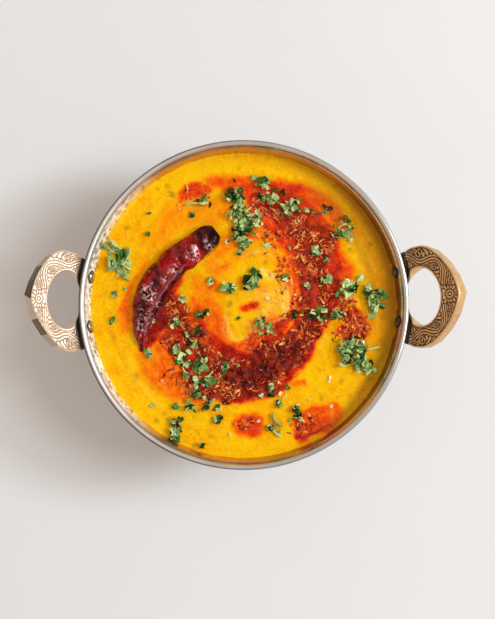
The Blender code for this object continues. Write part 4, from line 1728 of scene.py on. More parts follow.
@dataclass
class Chilli:
    """A whole dried chilli: creased across, folded along its lower side, blunt where its stalk was."""

    spine: tuple[Pair, ...] = ((-14.4, 37.2), (-39.8, 17.6), (-54.6, 9.4), (-51.8, -23.4))
    half_width: float = 7.4 * MM
    fattest: float = 0.45
    blunt: float = 0.2
    shoulder: float = 0.15
    taper: float = 0.97
    taper_power: float = 2.9
    flatness: float = 0.72
    rise: float = 1.2 * MM
    sink: float = 0.5
    length: float = 75.0
    seam_at: float = 49.0
    seam_from: float = 0.24
    seed: int = 23
    # the part of the dal that it can lie in: lowest and highest x, then y, in millimetres
    within: tuple[float, float, float, float] = (-70.0, 0.0, -35.0, 52.0)
    # valleys across the skin: distance from the stalk end, depth, width and slant, in millimetres
    folds: tuple[tuple[float, float, float, float], ...] = (
        (4.6, 1.5, 1.4, 1.2), (9.6, 1.7, 1.7, 1.2), (14.4, 0.8, 1.2, 3.2), (20.2, 2.1, 2.2, 2.4),
        (27.5, 0.7, 1.3, 1.6), (34.0, 0.8, 1.5, -1.6), (39.5, 0.5, 1.1, 1.6), (46.0, 0.8, 1.6, -2.0),
        (55.0, 0.8, 1.4, 1.8), (62.0, 0.6, 1.2, -1.2),
    )
    # dips in the top: share of the length, reach, bearing and spread in degrees, depth in millimetres
    hollows: tuple[tuple[float, float, float, float, float], ...] = (
        (0.55, 0.08, 88.0, 32.0, 1.7), (0.68, 0.055, 106.0, 22.0, 1.9), (0.83, 0.075, 104.0, 22.0, 1.7),
    )
    # painted highlights: x, y and reach, in millimetres
    highlight_spots: tuple[Triple, ...] = (
        (-17.5, 29.0, 1.6), (-24.5, 24.0, 2.2), (-35.0, 17.0, 2.2), (-49.5, 7.0, 2.4), (-47.0, 3.5, 3.0),
        (-44.5, 0.5, 1.8), (-49.5, -4.5, 2.6), (-50.5, -9.0, 2.6), (-51.5, -14.0, 1.8), (-40.0, 12.5, 1.4),
    )
    cap: float = 0.035
    around: int = 112
    along: int = 300

    def middle(self, share: Array) -> tuple[Array, Array]:
        """Points on the middle line and its direction, in metres, from the stalk end to the tip.

        Args:
            share: Shares of the way from the stalk end to the tip.

        Returns:
            The points and the directions.
        """
        corners = np.array(self.spine) * MM
        s = np.clip(np.asarray(share, dtype=float), 0.0, 1.0)[..., None]
        r = 1.0 - s
        a, b, c, d = corners
        point = a * r**3 + 3 * b * r**2 * s + 3 * c * r * s**2 + d * s**3
        run = (b - a) * r**2 + 2 * (c - b) * r * s + (d - c) * s**2
        return point, run / np.linalg.norm(run, axis=-1, keepdims=True)

    def width(self, share: Array) -> Array:
        """Half the chilli's width along its length, without its end caps.

        Args:
            share: Shares of the way from the stalk end to the tip.

        Returns:
            The half widths, in metres.
        """
        blunt = self.blunt * np.maximum(0.0, 1.0 - share / self.shoulder) ** 2
        past = np.maximum(0.0, (share - self.fattest) / (1.0 - self.fattest))
        return self.half_width * (1.0 - blunt - self.taper * past**self.taper_power)

    def outside(self, x: Array, y: Array) -> Array:
        """Distance outside the chilli's edge in plan, negative inside it, at points in metres.

        Args:
            x: Places to the right, in metres.
            y: Places to the back, in metres.

        Returns:
            The distances, in metres.
        """
        line, _ = self.middle(np.linspace(0.0, 1.0, 25))
        result = np.full(x.shape, 1.0)
        left, right, front, back = (side * MM for side in self.within)
        near = np.nonzero((x < right) & (x > left) & (y > front) & (y < back))[0]
        distance, place = nearest_on_line(x[near], y[near], line)
        result[near] = distance - self.width(place / 24.0)
        return result

    def skin(self, around: Array, along: Array) -> Array:
        """Points of the chilli's skin.

        Args:
            around: Shares of the way round, from the lower right edge over the top.
            along: Shares of the way from the stalk end to the tip, end caps included.

        Returns:
            The points, one row each.
        """
        share = np.clip((along - self.cap) / (1.0 - 1.5 * self.cap), 0.0, 1.0)
        point, run = self.middle(share)
        across = np.stack([-run[:, 1], run[:, 0], np.zeros_like(share)], axis=-1)
        start = np.clip(along / self.cap, 0.0, 1.0)
        finish = np.clip((1.0 - along) / (0.5 * self.cap), 0.0, 1.0)
        closing = np.sqrt(np.clip(1.0 - (1.0 - start) ** 2, 0.0, 1.0)) * np.sqrt(finish)
        angle = around * math.tau
        side, up = np.cos(angle), np.sin(angle)
        growth = self.creases(share, angle) * closing
        rounded = np.clip(1.0 - share / 0.07, 0.0, 1.0) ** 2.4
        half = self.width(share) * (1.0 - 0.45 * rounded)
        wide = (half + growth) * closing
        high = (half * self.flatness + growth) * closing
        push = (0.9 - 1.1 * bell(start, 0.5)) * MM * (1.0 - start) - 0.9 * MM * (1.0 - finish)
        points = np.zeros((len(share), 3))
        points[:, :2] = point - run * push[:, None]
        points[:, 2] = Karahi().height - Dal().depth + self.rise * (1.0 - self.sink * share)
        points += across * (side * wide)[:, None]
        points[:, 2] += up * high
        return points

    def creases(self, share: Array, angle: Array) -> Array:
        """How far the dried skin stands in or out of its smooth form.

        Args:
            share: Shares of the way from the stalk end to the tip.
            angle: Angles round the skin.

        Returns:
            The distances, in metres.
        """
        lumps = Lumps(self.seed)
        run, degrees = share * self.length, np.degrees(angle)
        growth = 1.2 * MM * lumps.at(run * MM + 0.5, angle * 5.0 * MM, 10 * MM, 2)
        growth += 0.6 * MM * lumps.at(run * MM + 0.9, angle * 4.5 * MM, 3.0 * MM, 2)
        upper = 0.12 + 0.88 * smooth_step(np.sin(angle) * 1.25)
        calm = 1.0 - 0.85 * bell(degrees - self.seam_at, 16.0) * self.seamed(share)
        for at, deep, width, slant in self.folds:
            place = np.full_like(run, at)
            wander = 1.6 * lumps.at(angle * 3.0 * MM, place, 4 * MM, 2)
            away = np.abs(run - at - slant * np.cos(angle) - wander)
            broken = 0.65 + 0.5 * lumps.at(place, angle * 3.0 * MM, 4 * MM, 2)
            swell = 0.34 * bell(away - 2.4 * width, 1.4 * width)
            growth += deep * MM * upper * broken * (swell - np.exp(-((away / width) ** 1.6))) * calm
        for at, reach, bearing, spread, deep in self.hollows:
            growth -= deep * MM * bell(share - at, reach) * bell(degrees - bearing, spread)
        return growth + 0.85 * MM * self.seam_and_highlight(share, angle) - 0.6 * MM * self.seam_and_highlight(share, angle, 15.0, 8.0)

    def seamed(self, share: Array) -> Array:
        """How far the fold along the lower side has begun, 0 near the stalk end and 1 beyond."""
        return smooth_step((share - self.seam_from) / 0.1)

    def seam_and_highlight(self, share: Array, angle: Array, beyond: float = 0.0, spread: float = 5.5) -> Array:
        """The narrow ridge where the skin is folded over, which also carries a painted highlight, or the
        furrow some degrees beyond it.
        """
        middle = self.seam_at + beyond + 5.0 * np.sin(share * 9.0)
        return bell(np.degrees(angle) - middle, spread) * self.seamed(share)

    def painted_shade_and_highlight(self, around: Array, along: Array) -> Array:
        """How much painted highlight the skin has, 1 where it is palest.

        Args:
            around: Shares of the way round the chilli.
            along: Shares of its length from the stalk end.

        Returns:
            How scuffed, 0 to 1.
        """
        points = self.skin(around, along) / MM
        total = np.zeros_like(along)
        for x, y, reach in self.highlight_spots:
            total = np.maximum(total, bell(np.hypot(points[:, 0] - x, points[:, 1] - y), reach))
        angle = around * math.tau
        return total * smooth_step(np.sin(angle) * 3.0) * (1.0 - self.seam_and_highlight(along, angle))

    def burnt_and_shade(self, around: Array, along: Array) -> Array:
        """How dark the skin is: charred at the stalk end, and painted shade beyond the fold and in the
        deepest creases.

        Args:
            around: Shares of the way round the chilli.
            along: Shares of its length from the stalk end.

        Returns:
            How dark, 0 to 1.
        """
        stalk_end = 0.95 * smooth_step((0.16 - along) / 0.1)
        # painted shade: the skin beyond the fold and in the deepest creases is darkened as if in shade
        under = 0.75 * (around < self.seam_at / 360.0) * smooth_step((along - 0.25) / 0.1)
        deep = smooth_step(-(self.creases(along, around * math.tau) / MM + 0.4) / 1.1)
        return np.clip(stalk_end + under + 0.85 * deep, 0.0, 1.0)

    def build(self) -> Piece:
        """The chilli, with its charred places and painted shade, its painted highlight patches and the
        painted highlight along its fold kept on its points.

        Returns:
            The chilli.
        """
        masks = {
            "burnt_and_shade": self.burnt_and_shade,
            "seam_and_highlight": lambda around, along: 0.8 * self.seam_and_highlight(along, around * math.tau),
            "painted_shade_and_highlight": self.painted_shade_and_highlight,
        }
        bm = wrapped_sheet(self.around, self.along, self.skin, masks)
        face_outwards(bm)
        return as_object("dried_chilli", bm)

    def dress(self, groups: SharedGroups) -> Piece:
        """Builds the chilli and puts its skin on."""
        return put_on(self.build(), ChilliSkin().material(groups), ["chilli"])


# ---------------------------------------------------------------- what is strewn on the dal


@dataclass
class Crumb:
    """One small shape, modelled once and then strewn many times: its points and its triangles."""

    points: Array
    triangles: Array

    @classmethod
    def from_bmesh(cls, bm: Mesh) -> "Crumb":
        """Takes the shape over from a bmesh, which is freed.

        Args:
            bm: The bmesh.

        Returns:
            The crumb.
        """
        bmesh.ops.triangulate(bm, faces=bm.faces)
        bm.verts.index_update()
        points = np.array([vert.co[:] for vert in bm.verts])
        triangles = np.array([[vert.index for vert in face.verts] for face in bm.faces])
        bm.free()
        return cls(points, triangles)


@dataclass
class Placing:
    """Where one crumb goes: place, lift and size in millimetres, turns in radians, and its tone."""

    x: float
    y: float
    lift: float
    size: float
    turn: float
    tilt: float
    roll: float
    tone: float

    def put(self, points: Array, ground: float) -> Array:
        """A crumb's points, moved to where it goes over the dal's height there, in metres.

        Args:
            points: The crumb's points, with its length as 1.
            ground: The dal's height there, in metres.

        Returns:
            The moved points, in metres.
        """
        matrix = np.array(
            Matrix.Translation((self.x * MM, self.y * MM, ground + self.lift * MM))
            @ Matrix.Rotation(self.turn, 4, "Z")
            @ Matrix.Rotation(self.tilt, 4, "X")
            @ Matrix.Rotation(self.roll, 4, "Y")
            @ Matrix.Scale(self.size * MM, 4)
        )
        return points @ matrix[:3, :3].T + matrix[:3, 3]


def strewn(name: str, crumbs: Sequence[Crumb], placings: Sequence[Placing], dal: Dal) -> Piece:
    """Joins many placed crumbs into one piece.

    Args:
        name: The piece's name.
        crumbs: The shapes, taken in turn.
        placings: Where each goes.
        dal: The dal that they lie on.

    Returns:
        The piece, with each crumb's tone kept on its points.
    """
    x, y = np.array([(placing.x, placing.y) for placing in placings]).T * MM
    points, triangles, tones, count = [], [], [], 0
    for index, (placing, ground) in enumerate(zip(placings, dal.height(x, y))):
        crumb = crumbs[index % len(crumbs)]
        points.append(placing.put(crumb.points, float(ground)))
        triangles.append(crumb.triangles + count)
        tones.append(np.full(len(crumb.points), min(max(placing.tone, 0.0), 1.0)))
        count += len(crumb.points)
    mesh = bpy.data.meshes.new(name)
    mesh.from_pydata(np.vstack(points).tolist(), [], np.vstack(triangles).tolist())
    mesh.attributes.new("tone", "FLOAT", "POINT").data.foreach_set("value", np.concatenate(tones))
    return linked(name, smooth_mesh(mesh, 50.0))


def thickened(bm: Mesh, thickness: float) -> Crumb:
    """A sheet given a thickness and taken over as a crumb.

    Args:
        bm: The open sheet.
        thickness: Its thickness, in the crumb's own size.

    Returns:
        The crumb.
    """
    bmesh.ops.solidify(bm, geom=bm.faces[:], thickness=thickness)
    bmesh.ops.recalc_face_normals(bm, faces=bm.faces)
    return Crumb.from_bmesh(bm)


@dataclass
class Coriander:
    """Chopped coriander: torn leaf bits, curled and creased, and short lengths of stalk.

    Heaps are (x, y, bits, spread, size, tone), in millimetres; tone runs from 0, dark, to 1, pale.
    """

    seed: int = 5
    layers: int = 3
    leaf_finish: CrumbFinish = CrumbFinish(
        "coriander_leaf", srgb(208, 222, 146), srgb(4, 30, 4), srgb(72, 128, 36), 0.08, 0.22, 0.03, shine=0.34
    )
    stalk_finish: CrumbFinish = CrumbFinish(
        "coriander_stalk", srgb(226, 226, 146), srgb(96, 120, 44), smooth=0.2, rough=0.45, glow=0.15
    )
    heaps: tuple[tuple[float, float, int, float, float, float], ...] = (
        # left
        (-69, 28, 1, 1, 8, 0.8), (-65, 29, 1, 1, 8, 0.9), (-62, 25, 2, 1.2, 8, 0.85),
        (-60, 21, 1, 1, 8, 0.8), (-66, 21, 2, 1.2, 8, 0.8), (-63, 18, 2, 1.2, 7, 0.75),
        (-61, 15, 1, 1, 6, 0.9), (-60, 8, 1, 0, 3.5, 0.7), (-66, 6, 2, 1, 3, 0.45),
        (-66.5, -8, 2, 0.8, 4, 0.5),
        # upper left
        (-48.5, 46.5, 1, 0, 3.5, 0.7), (-48.5, 36, 1, 0, 3.5, 0.45), (-20, 52, 4, 1.6, 4, 0.5),
        (-26, 46, 2, 0.8, 3, 0.45),
        # top
        (-6, 57, 7, 2.5, 4.5, 0.4), (-3, 52, 5, 2.5, 4, 0.4), (-4, 47, 8, 3.2, 3.2, 0.55),
        (4, 42, 12, 3.2, 4, 0.6), (1, 37, 6, 2.6, 3.6, 0.5), (-3, 36, 8, 3.5, 4.5, 0.2),
        (-1, 31, 5, 1.4, 4, 0.6), (-2, 26.5, 2, 0.6, 3, 0.8), (10, 62, 6, 2.2, 4.5, 0.6),
        (15, 54, 6, 2.2, 4, 0.65), (10, 55, 3, 1.2, 3, 0.4), (24, 50, 7, 2.6, 4.5, 0.55),
        (31.5, 48, 2, 0.6, 3, 0.6), (35, 48, 1, 0, 3, 0.6), (42, 47.5, 2, 1.6, 4.5, 0.65),
        (51, 37, 8, 2.8, 4.5, 0.5), (46, 36, 2, 1, 3, 0.7),
        # right
        (37, 27, 2, 1.2, 7, 0.5), (42, 22, 2, 0.8, 3.5, 0.4), (42, 13.5, 2, 1, 6.5, 0.5),
        (32, 9.5, 2, 0.8, 3.5, 0.55), (53, 8, 5, 2.4, 5.5, 0.6), (59, 13, 2, 1, 4, 0.8),
        (62, 7, 2, 0.8, 4.5, 0.8), (65, 5, 7, 3.4, 5.5, 0.35), (67, 0, 4, 2, 5, 0.35),
        (26, -5, 1, 0, 5.5, 0.4), (34, -4, 4, 2, 4.5, 0.5), (40, -4, 5, 2.4, 4.2, 0.6),
        (46, -6, 4, 2, 4.2, 0.55), (54, -20, 5, 2.2, 5.5, 0.5), (52, -26, 6, 2.6, 5, 0.5),
        (58, -24, 8, 3, 5, 0.55), (60, -31, 7, 2.6, 5, 0.75), (49, -23, 2, 1, 4, 0.5),
        # middle
        (4, 11, 5, 2, 5, 0.35), (7, 16, 3, 1.6, 4.5, 0.3), (-7, 8, 3, 1.6, 4.5, 0.65),
        (21, 13.5, 2, 1.4, 3.4, 0.5), (-3, -7, 1, 0, 3, 0.4), (9, -9, 4, 2, 3.8, 0.45),
        (13, -12, 4, 1.6, 3.6, 0.5), (-17, 12, 2, 0.6, 4, 0.3), (12, 30, 1, 0, 3.5, 0.75),
        (23, 29, 1, 0, 3, 0.6),
        # lower left
        (-31, 3, 2, 0.8, 3.5, 0.6), (-35, -10, 3, 1.4, 3.8, 0.5), (-23, -5, 2, 0.6, 4.5, 0.5),
        (-19, -5, 3, 1.2, 3.5, 0.35), (-29, -15, 2, 0.8, 3.2, 0.55), (-22, -13, 3, 1.6, 3.6, 0.35),
        (-26, -20, 3, 1.6, 5, 0.5), (-34, -23, 3, 1.2, 4.5, 0.5), (-28, -24, 2, 1, 3.6, 0.5),
        (-32, -28, 4, 1.8, 4.6, 0.5), (-28, -30, 2, 0.8, 3.6, 0.95), (-24, -32, 3, 1.6, 5, 0.45),
        (-20, -32, 1, 0, 7, 0.8), (-21, -28, 2, 1, 4, 0.6), (-9.5, -32, 2, 0.8, 5.5, 0.65),
        (-3, -31, 1, 0, 3, 0.7), (-29, -36, 2, 0.8, 4.2, 0.85), (-24, -39, 3, 1.2, 3.6, 0.7),
        (-17, -39, 2, 0.8, 5.5, 0.6), (-13, -37, 1, 0, 4, 0.6), (-24, -45, 3, 1.4, 4, 0.35),
        (-34, -51, 2, 0.8, 4, 0.45), (-27, -52, 3, 1.4, 4.2, 0.5), (-18, -51, 3, 1.6, 4.5, 0.4),
        (-13, -52, 2, 0.8, 4.2, 0.6), (-13, -58, 2, 0.8, 4.2, 0.5), (-48, -25, 2, 0.8, 4.5, 0.55),
        (-46, -51, 1, 0, 3.5, 0.8), (-35, -62, 5, 2, 4.5, 0.5), (-35, -67, 5, 1.8, 4.2, 0.5),
        (-21, -71, 2, 0.8, 3.4, 0.55),
        # bottom
        (14, -43, 3, 1.2, 4.5, 0.45), (9, -46.5, 1, 0, 3.4, 0.85), (18.5, -50, 3, 1.2, 3.8, 0.6),
        (22, -42, 1, 0, 3.4, 0.7), (27, -55, 4, 1.6, 3.8, 0.45), (29, -58.5, 1, 0.4, 4, 0.8),
        (14, -62, 2, 0.8, 4, 0.5), (17.5, -65, 1, 0.4, 4, 0.8), (-43, 12, 1, 0, 2.4, 0.6),
        (-43, 1.5, 2, 0.8, 3, 0.7), (-47, -5, 1, 0, 3, 0.5), (-46, -8, 2, 0.6, 2.8, 0.5),
    )
    stalks: tuple[tuple[float, float, float, float, float], ...] = (
        # (x, y, length, turn in degrees, tone)
        (-27, 51, 8, 8, 0.6), (-2, 56, 9, -50, 0.8), (27, 52, 4, 60, 0.6), (65, -22, 8, 12, 0.7),
        (17, -58, 9, -52, 0.35), (17, -65, 6, -38, 0.85), (29, -58, 5, -50, 0.9), (2, 49, 5, 30, 0.9),
        (5, 44, 6, -30, 0.85), (-7, 44, 4, 70, 0.8), (-18, -35, 6, 35, 0.7), (-30, -33, 5, -60, 0.8),
        (50, 40, 6, 25, 0.8), (40, -2, 6, -15, 0.8), (57, -28, 6, 50, 0.85), (66, 2, 5, 70, 0.6),
        (-62, 22, 6, 60, 0.85), (-66, 27, 5, -20, 0.85), (8, -8, 5, -40, 0.7), (21, -46, 3, 60, 0.8),
    )

    def chop(self, rng: Dice) -> Crumb:
        """One chopped leaf bit, 1 long: cut straight on every side and folded along its vein.

        Args:
            rng: The random draws.

        Returns:
            The bit.
        """
        bm, flat = flat_grid(5, 4)
        taper, skew = rng.uniform(-0.7, 0.7), rng.uniform(-0.5, 0.5)
        x = flat[:, 0] * (1.0 + 0.4 * taper * flat[:, 1]) + 0.12 * rng.uniform(-1.0, 1.0) * flat[:, 1]
        y = flat[:, 1] * rng.uniform(0.5, 0.9) * (1.0 + taper * flat[:, 0]) + skew * flat[:, 0]
        fold, curl = rng.uniform(-0.8, 0.8), rng.uniform(-0.5, 0.7)
        crease = Lumps(int(rng.integers(1000))).at(x, y, 0.4, 2)
        move_points(bm, x, y, fold * np.abs(flat[:, 1]) + curl * x * x + 0.12 * crease)
        return thickened(bm, 0.06)

    def leaf(self, rng: Dice) -> Crumb:
        """One torn leaf bit, 1 long: lobed on one side, cut straight on another, curled and creased.

        Args:
            rng: The random draws.

        Returns:
            The bit.
        """
        bm, flat = disc_of(5)
        bearing = np.arctan2(flat[:, 1], flat[:, 0])
        radius = np.hypot(flat[:, 0], flat[:, 1])
        first, second = rng.uniform(0.0, math.tau, 2)
        outline = 0.5 * (1.0 + 0.24 * np.sin(3 * bearing + first) + 0.12 * np.sin(7 * bearing + second))
        x = flat[:, 0] * outline * rng.uniform(0.85, 1.15)
        y = flat[:, 1] * outline * rng.uniform(0.55, 0.85)
        cut = rng.uniform(0.18, 0.4)
        x = np.minimum(x, cut + 0.1 * (x - cut))
        fold, curl = rng.uniform(-0.8, 0.8), rng.uniform(-0.9, 1.1)
        crease = Lumps(int(rng.integers(1000))).at(x, y, 0.32, 2)
        move_points(bm, x, y, fold * np.abs(y) + curl * x * x + 0.3 * crease + 0.03 * radius)
        return thickened(bm, 0.045)

    def stalk(self, rng: Dice) -> Crumb:
        """One bent length of stalk, 1 long.

        Args:
            rng: The random draws.

        Returns:
            The length of stalk.
        """
        bend, bulge = rng.uniform(-0.16, 0.16), rng.uniform(0.0, 0.08)

        def place(around: Array, along: Array) -> Array:
            """Points of a thin tube with closed ends.

            Args:
                around: Shares of the way round the tube.
                along: Shares of its length.

            Returns:
                The points.
            """
            ends = np.sqrt(np.clip(1.0 - (2.0 * along - 1.0) ** 12, 0.0, 1.0))
            thick, arch = (0.07 + 0.02 * along) * ends, np.sin(math.pi * along)
            y = bend * arch + thick * np.cos(around * math.tau)
            z = bulge * arch + thick * np.sin(around * math.tau)
            return np.stack([along - 0.5, y, z], axis=-1)

        return Crumb.from_bmesh(wrapped_sheet(7, 8, place))

    def placings(self, rng: Dice) -> list[Placing]:
        """Where the leaf bits go.

        Args:
            rng: The random draws.

        Returns:
            The placings.
        """
        result = []
        for x, y, bits, spread, size, tone in self.heaps:
            # painted light: heaps of more than two bits are painted darker, as shade among the bits, and each
            # higher layer paler, as light on top
            shade, vary = (tone - 0.2, 0.42) if bits > 2 else (tone - 0.05, 0.22 if bits == 1 else 0.42)
            for layer in range(self.layers * bits):
                across, up = rng.normal(0.0, 1.0, 2) * spread * 0.8
                place = (x + across, y + up, 0.3 + 0.22 * min(layer, 9), size * rng.uniform(0.42, 0.95))
                turns = (rng.uniform(0.0, math.tau), rng.normal(0.0, 0.55), rng.normal(0.0, 0.55))
                tone_here = shade + 0.03 * min(layer, 7) + rng.normal(0.0, vary)
                result.append(Placing(*place, *turns, tone_here))
        return result

    def dress(self, groups: SharedGroups, dal: Dal) -> list[Piece]:
        """Builds the leaves and the stalks and puts their finishes on.

        Args:
            groups: The shader groups that all finishes share.
            dal: The dal that they lie on.

        Returns:
            The pieces.
        """
        rng = np.random.default_rng(self.seed)
        leaf, stalk = self.leaf_finish.material(groups), self.stalk_finish.material(groups)
        leaves = [shape(rng) for _ in range(14) for shape in (self.leaf, self.chop)]
        stalks = [self.stalk(rng) for _ in range(6)]
        stalk_placings = [
            Placing(x, y, 0.9, length, math.radians(turn), rng.normal(0, 0.06), rng.normal(0, 0.06), tone)
            for x, y, length, turn, tone in self.stalks
        ]
        return [
            put_on(strewn("coriander_leaves", leaves, self.placings(rng), dal), leaf),
            put_on(strewn("coriander_stalks", stalks, stalk_placings, dal), stalk),
        ]


class Flake(Enum):
    """The kinds of fried flake: name, light colour, dark colour, and share of them all."""

    DARK = ("flakes_dark", srgb(150, 28, 8), srgb(64, 2, 2), 0.34)
    RED = ("flakes_red", srgb(228, 82, 20), srgb(156, 24, 4), 0.38)
    GOLD = ("flakes_gold", srgb(252, 174, 80), srgb(228, 92, 20), 0.28)


@dataclass
class Tempering:
    """Fried chilli and onion flakes, packed where the oil lies deepest."""

    seed: int = 9
    clump_seed: int = 31
    count: int = 3200
    reach: float = 72.0
    edge: float = 73.0
    batch: int = 3000
    beds: tuple[Stain, ...] = (
        Stain(5, (-31, -4, 5, 0.6), (-27, -14, 5, 0.6), (-18, -26, 4, 0.6), (-8, -36, 8, 1.0),
              (5, -37, 10, 1.0), (15, -29, 9, 1.0), (25, -21, 8, 0.9), (33, -12, 6, 0.7), (37, 0, 8, 0.65),
              (35, 10, 8, 0.7), (33, 22, 8, 0.85), (36, 32, 10, 0.9), (28, 40, 8, 0.8), (18, 48, 6, 0.6),
              (8, 53, 4, 0.4)),
        Stain(5, (50, 8, 5, 0.35), (53, -4, 5, 0.4), (58, -12, 6, 0.5), (50, -16, 4, 0.4)),
        Stain(5, (-34, -38, 6, 0.3), (-24, -42, 5, 0.5), (-10, -46, 5, 0.6)),
        Stain(4, (-35, 2, 3, 0.45), (-38, -8, 4, 0.55), (-38, -18, 4, 0.5)),
        Stain(4, (1, -62, 5, 0.22), (4, -61, 5, 0.22)),
        Stain(4, (27, -63, 4, 0.25), (34, -59, 4, 0.2)),
        Stain(4, (-27, 57, 4, 0.12), (-20, 58, 4, 0.12)),
        Stain(6, (14, 36, 5, 0.25), (22, 22, 5, 0.25), (22, -8, 5, 0.3), (8, -22, 5, 0.3)),
    )
    # where the flakes are fried darkest
    burnt_and_shade: Stain = Stain(7.0, (-5, -35, 4, 1), (7, -34, 6, 1), (17, -28, 6, 1), (27, -21, 4, 0.7))

    def __post_init__(self) -> None:
        """Sets up how the flakes clump together."""
        self.clumps = Lumps(self.clump_seed)

    def flake(self, rng: Dice) -> Crumb:
        """One curled flake, 1 long: a strip, a chip or a thread.

        Args:
            rng: The random draws.

        Returns:
            The flake.
        """
        bm, flat = disc_of(3)
        narrow, skew = rng.choice([0.12, 0.16, 0.22, 0.36]), rng.uniform(-0.9, 0.9)
        curl, twist = rng.uniform(-0.5, 0.8), rng.uniform(-1.2, 1.2)
        x = flat[:, 0] * 0.5
        y = flat[:, 1] * 0.5 * narrow * (1.0 + rng.uniform(-0.5, 0.5) * flat[:, 0]) + skew * x * x
        z = curl * x * x + twist * x * y + rng.normal(0.0, 0.03, len(x))
        move_points(bm, x, y, z)
        return thickened(bm, 0.08)

    def thickness(self, x: Array, y: Array) -> Array:
        """How thick the bed of flakes is, 0 to 1, at points in millimetres."""
        return np.max([bed.amount(x, y) for bed in self.beds], axis=0)

    def spots(self, rng: Dice) -> list[Triple]:
        """Places for the flakes, each with how thick the bed is there.

        Args:
            rng: The random draws.

        Returns:
            The places, in millimetres, and the thicknesses, 0 to 1.
        """
        found: list[Triple] = []
        while len(found) < self.count:
            x, y = (rng.uniform(-self.reach, self.reach, self.batch) for _ in range(2))
            thick = self.thickness(x, y)
            clumped = smooth_step(0.55 + 1.3 * self.clumps.at(x, y, 7.0, 2))
            keep = (rng.random(self.batch) < thick * clumped) & (np.hypot(x, y) < self.edge)
            keep &= Chilli().outside(x * MM, y * MM) > 0.6 * MM
            found += list(zip(x[keep], y[keep], thick[keep]))
        return found[: self.count]

    def dress(self, groups: SharedGroups, dal: Dal) -> list[Piece]:
        """Builds each kind of flake as one piece and puts its finish on.

        Args:
            groups: The shader groups that all finishes share.
            dal: The dal that they lie on.

        Returns:
            The pieces.
        """
        rng = np.random.default_rng(self.seed)
        shapes = [self.flake(rng) for _ in range(30)]
        kinds = list(Flake)
        picks = rng.choice(len(kinds), self.count, p=[kind.value[3] for kind in kinds])
        placings: list[list[Placing]] = [[] for _ in kinds]
        for (x, y, thick), pick in zip(self.spots(rng), picks):
            dark = float(self.burnt_and_shade.amount(np.array([x]), np.array([y]))[0])
            if kinds[pick] is Flake.GOLD and dark > 0.5:
                continue
            # paler flakes towards the upper right: partly paler flakes, partly painted sheen of the wet oil
            pale = 0.4 * smooth_step((y + 0.5 * x) / 30.0) - 0.4 * dark
            place = (x, y, rng.uniform(-0.2, 0.1 + 0.7 * thick), np.clip(rng.lognormal(1.02, 0.34), 1.1, 5.4))
            turns = (rng.uniform(0.0, math.tau), rng.normal(0.0, 0.35), rng.normal(0.0, 0.3))
            placings[pick].append(Placing(*place, *turns, rng.uniform(0.0, 1.0) + pale))
        pieces = []
        for kind, places in zip(kinds, placings):
            title, light, dark, _ = kind.value
            finish = CrumbFinish(title, light, dark, smooth=0.14, rough=0.4, oiled=0.2, shine=0.22)
            pieces.append(put_on(strewn(title, shapes, places, dal), finish.material(groups)))
        return pieces


@dataclass
class Garlic:
    """Small pale bits of fried garlic and onion. Bits are (x, y, size), in millimetres."""

    seed: int = 14
    finish: CrumbFinish = CrumbFinish(
        "fried_garlic", srgb(254, 230, 172), srgb(238, 168, 60), smooth=0.15, rough=0.35, glow=0.4
    )
    bits: tuple[Triple, ...] = (
        (-9, 32, 3.4), (-33.5, 51, 2.6), (-33, 49, 1.8), (14, 15, 3.0), (12, 3, 3.2), (18.5, -45, 3.0),
        (20, -47, 2.0), (27, -51, 3.0), (25.5, -52, 2.2), (43.5, -37, 2.8), (43, -39, 2.0),
        (44, -51.5, 2.8), (7.5, -59, 2.6), (-7, -65.5, 2.4), (12, 57, 2.6), (15, 52, 2.2), (56, -27, 2.8),
        (59, -25, 2.2), (26, 5, 1.8), (22, 12, 2.0), (24, 12.5, 1.6), (6, -14, 1.8), (14, -14, 2.0),
        (-8, -30, 1.8), (33, -48, 2.0), (-8, 47, 2.4), (4, 40, 2.0), (46, 35, 2.0), (-28, -29.5, 2.6),
        (-30, -37, 2.2), (20, 2, 1.8), (17, 7, 1.8), (58, 12, 2.4), (62, 6, 2.6), (52, 3, 2.2),
    )

    def bit(self, rng: Dice) -> Crumb:
        """One uneven cut cube with worn corners, 1 long.

        Args:
            rng: The random draws.

        Returns:
            The bit.
        """
        bm = bmesh.new()
        bmesh.ops.create_cube(bm, size=1.0)
        bmesh.ops.subdivide_edges(bm, edges=bm.edges, cuts=2, use_grid_fill=True)
        lumps = Lumps(int(rng.integers(1000)))
        for vert in bm.verts:
            flat = vert.co.copy()
            rounded = vert.co.lerp(vert.co.normalized() * 0.5, 0.55)
            wobble = 0.3 * float(lumps.at(np.array([flat.x + flat.z]), np.array([flat.y - flat.z]), 0.5)[0])
            vert.co = rounded * Vector((1.0, 0.75, 0.5)) * (1.0 + wobble)
        bmesh.ops.recalc_face_normals(bm, faces=bm.faces)
        return Crumb.from_bmesh(bm)

    def dress(self, groups: SharedGroups, dal: Dal) -> Piece:
        """Builds the bits as one piece and puts their finish on.

        Args:
            groups: The shader groups that all finishes share.
            dal: The dal that they lie on.

        Returns:
            The piece.
        """
        rng = np.random.default_rng(self.seed)
        shapes = [self.bit(rng) for _ in range(8)]
        placings = []
        for x, y, size in self.bits:
            turns = (rng.uniform(0, math.tau), rng.normal(0, 0.3), rng.normal(0, 0.3))
            placings.append(Placing(x, y, 0.15, 0.75 * size, *turns, rng.uniform(0.2, 1.0)))
        return put_on(strewn("garlic_bits", shapes, placings, dal), self.finish.material(groups))


# ---------------------------------------------------------------- the studio


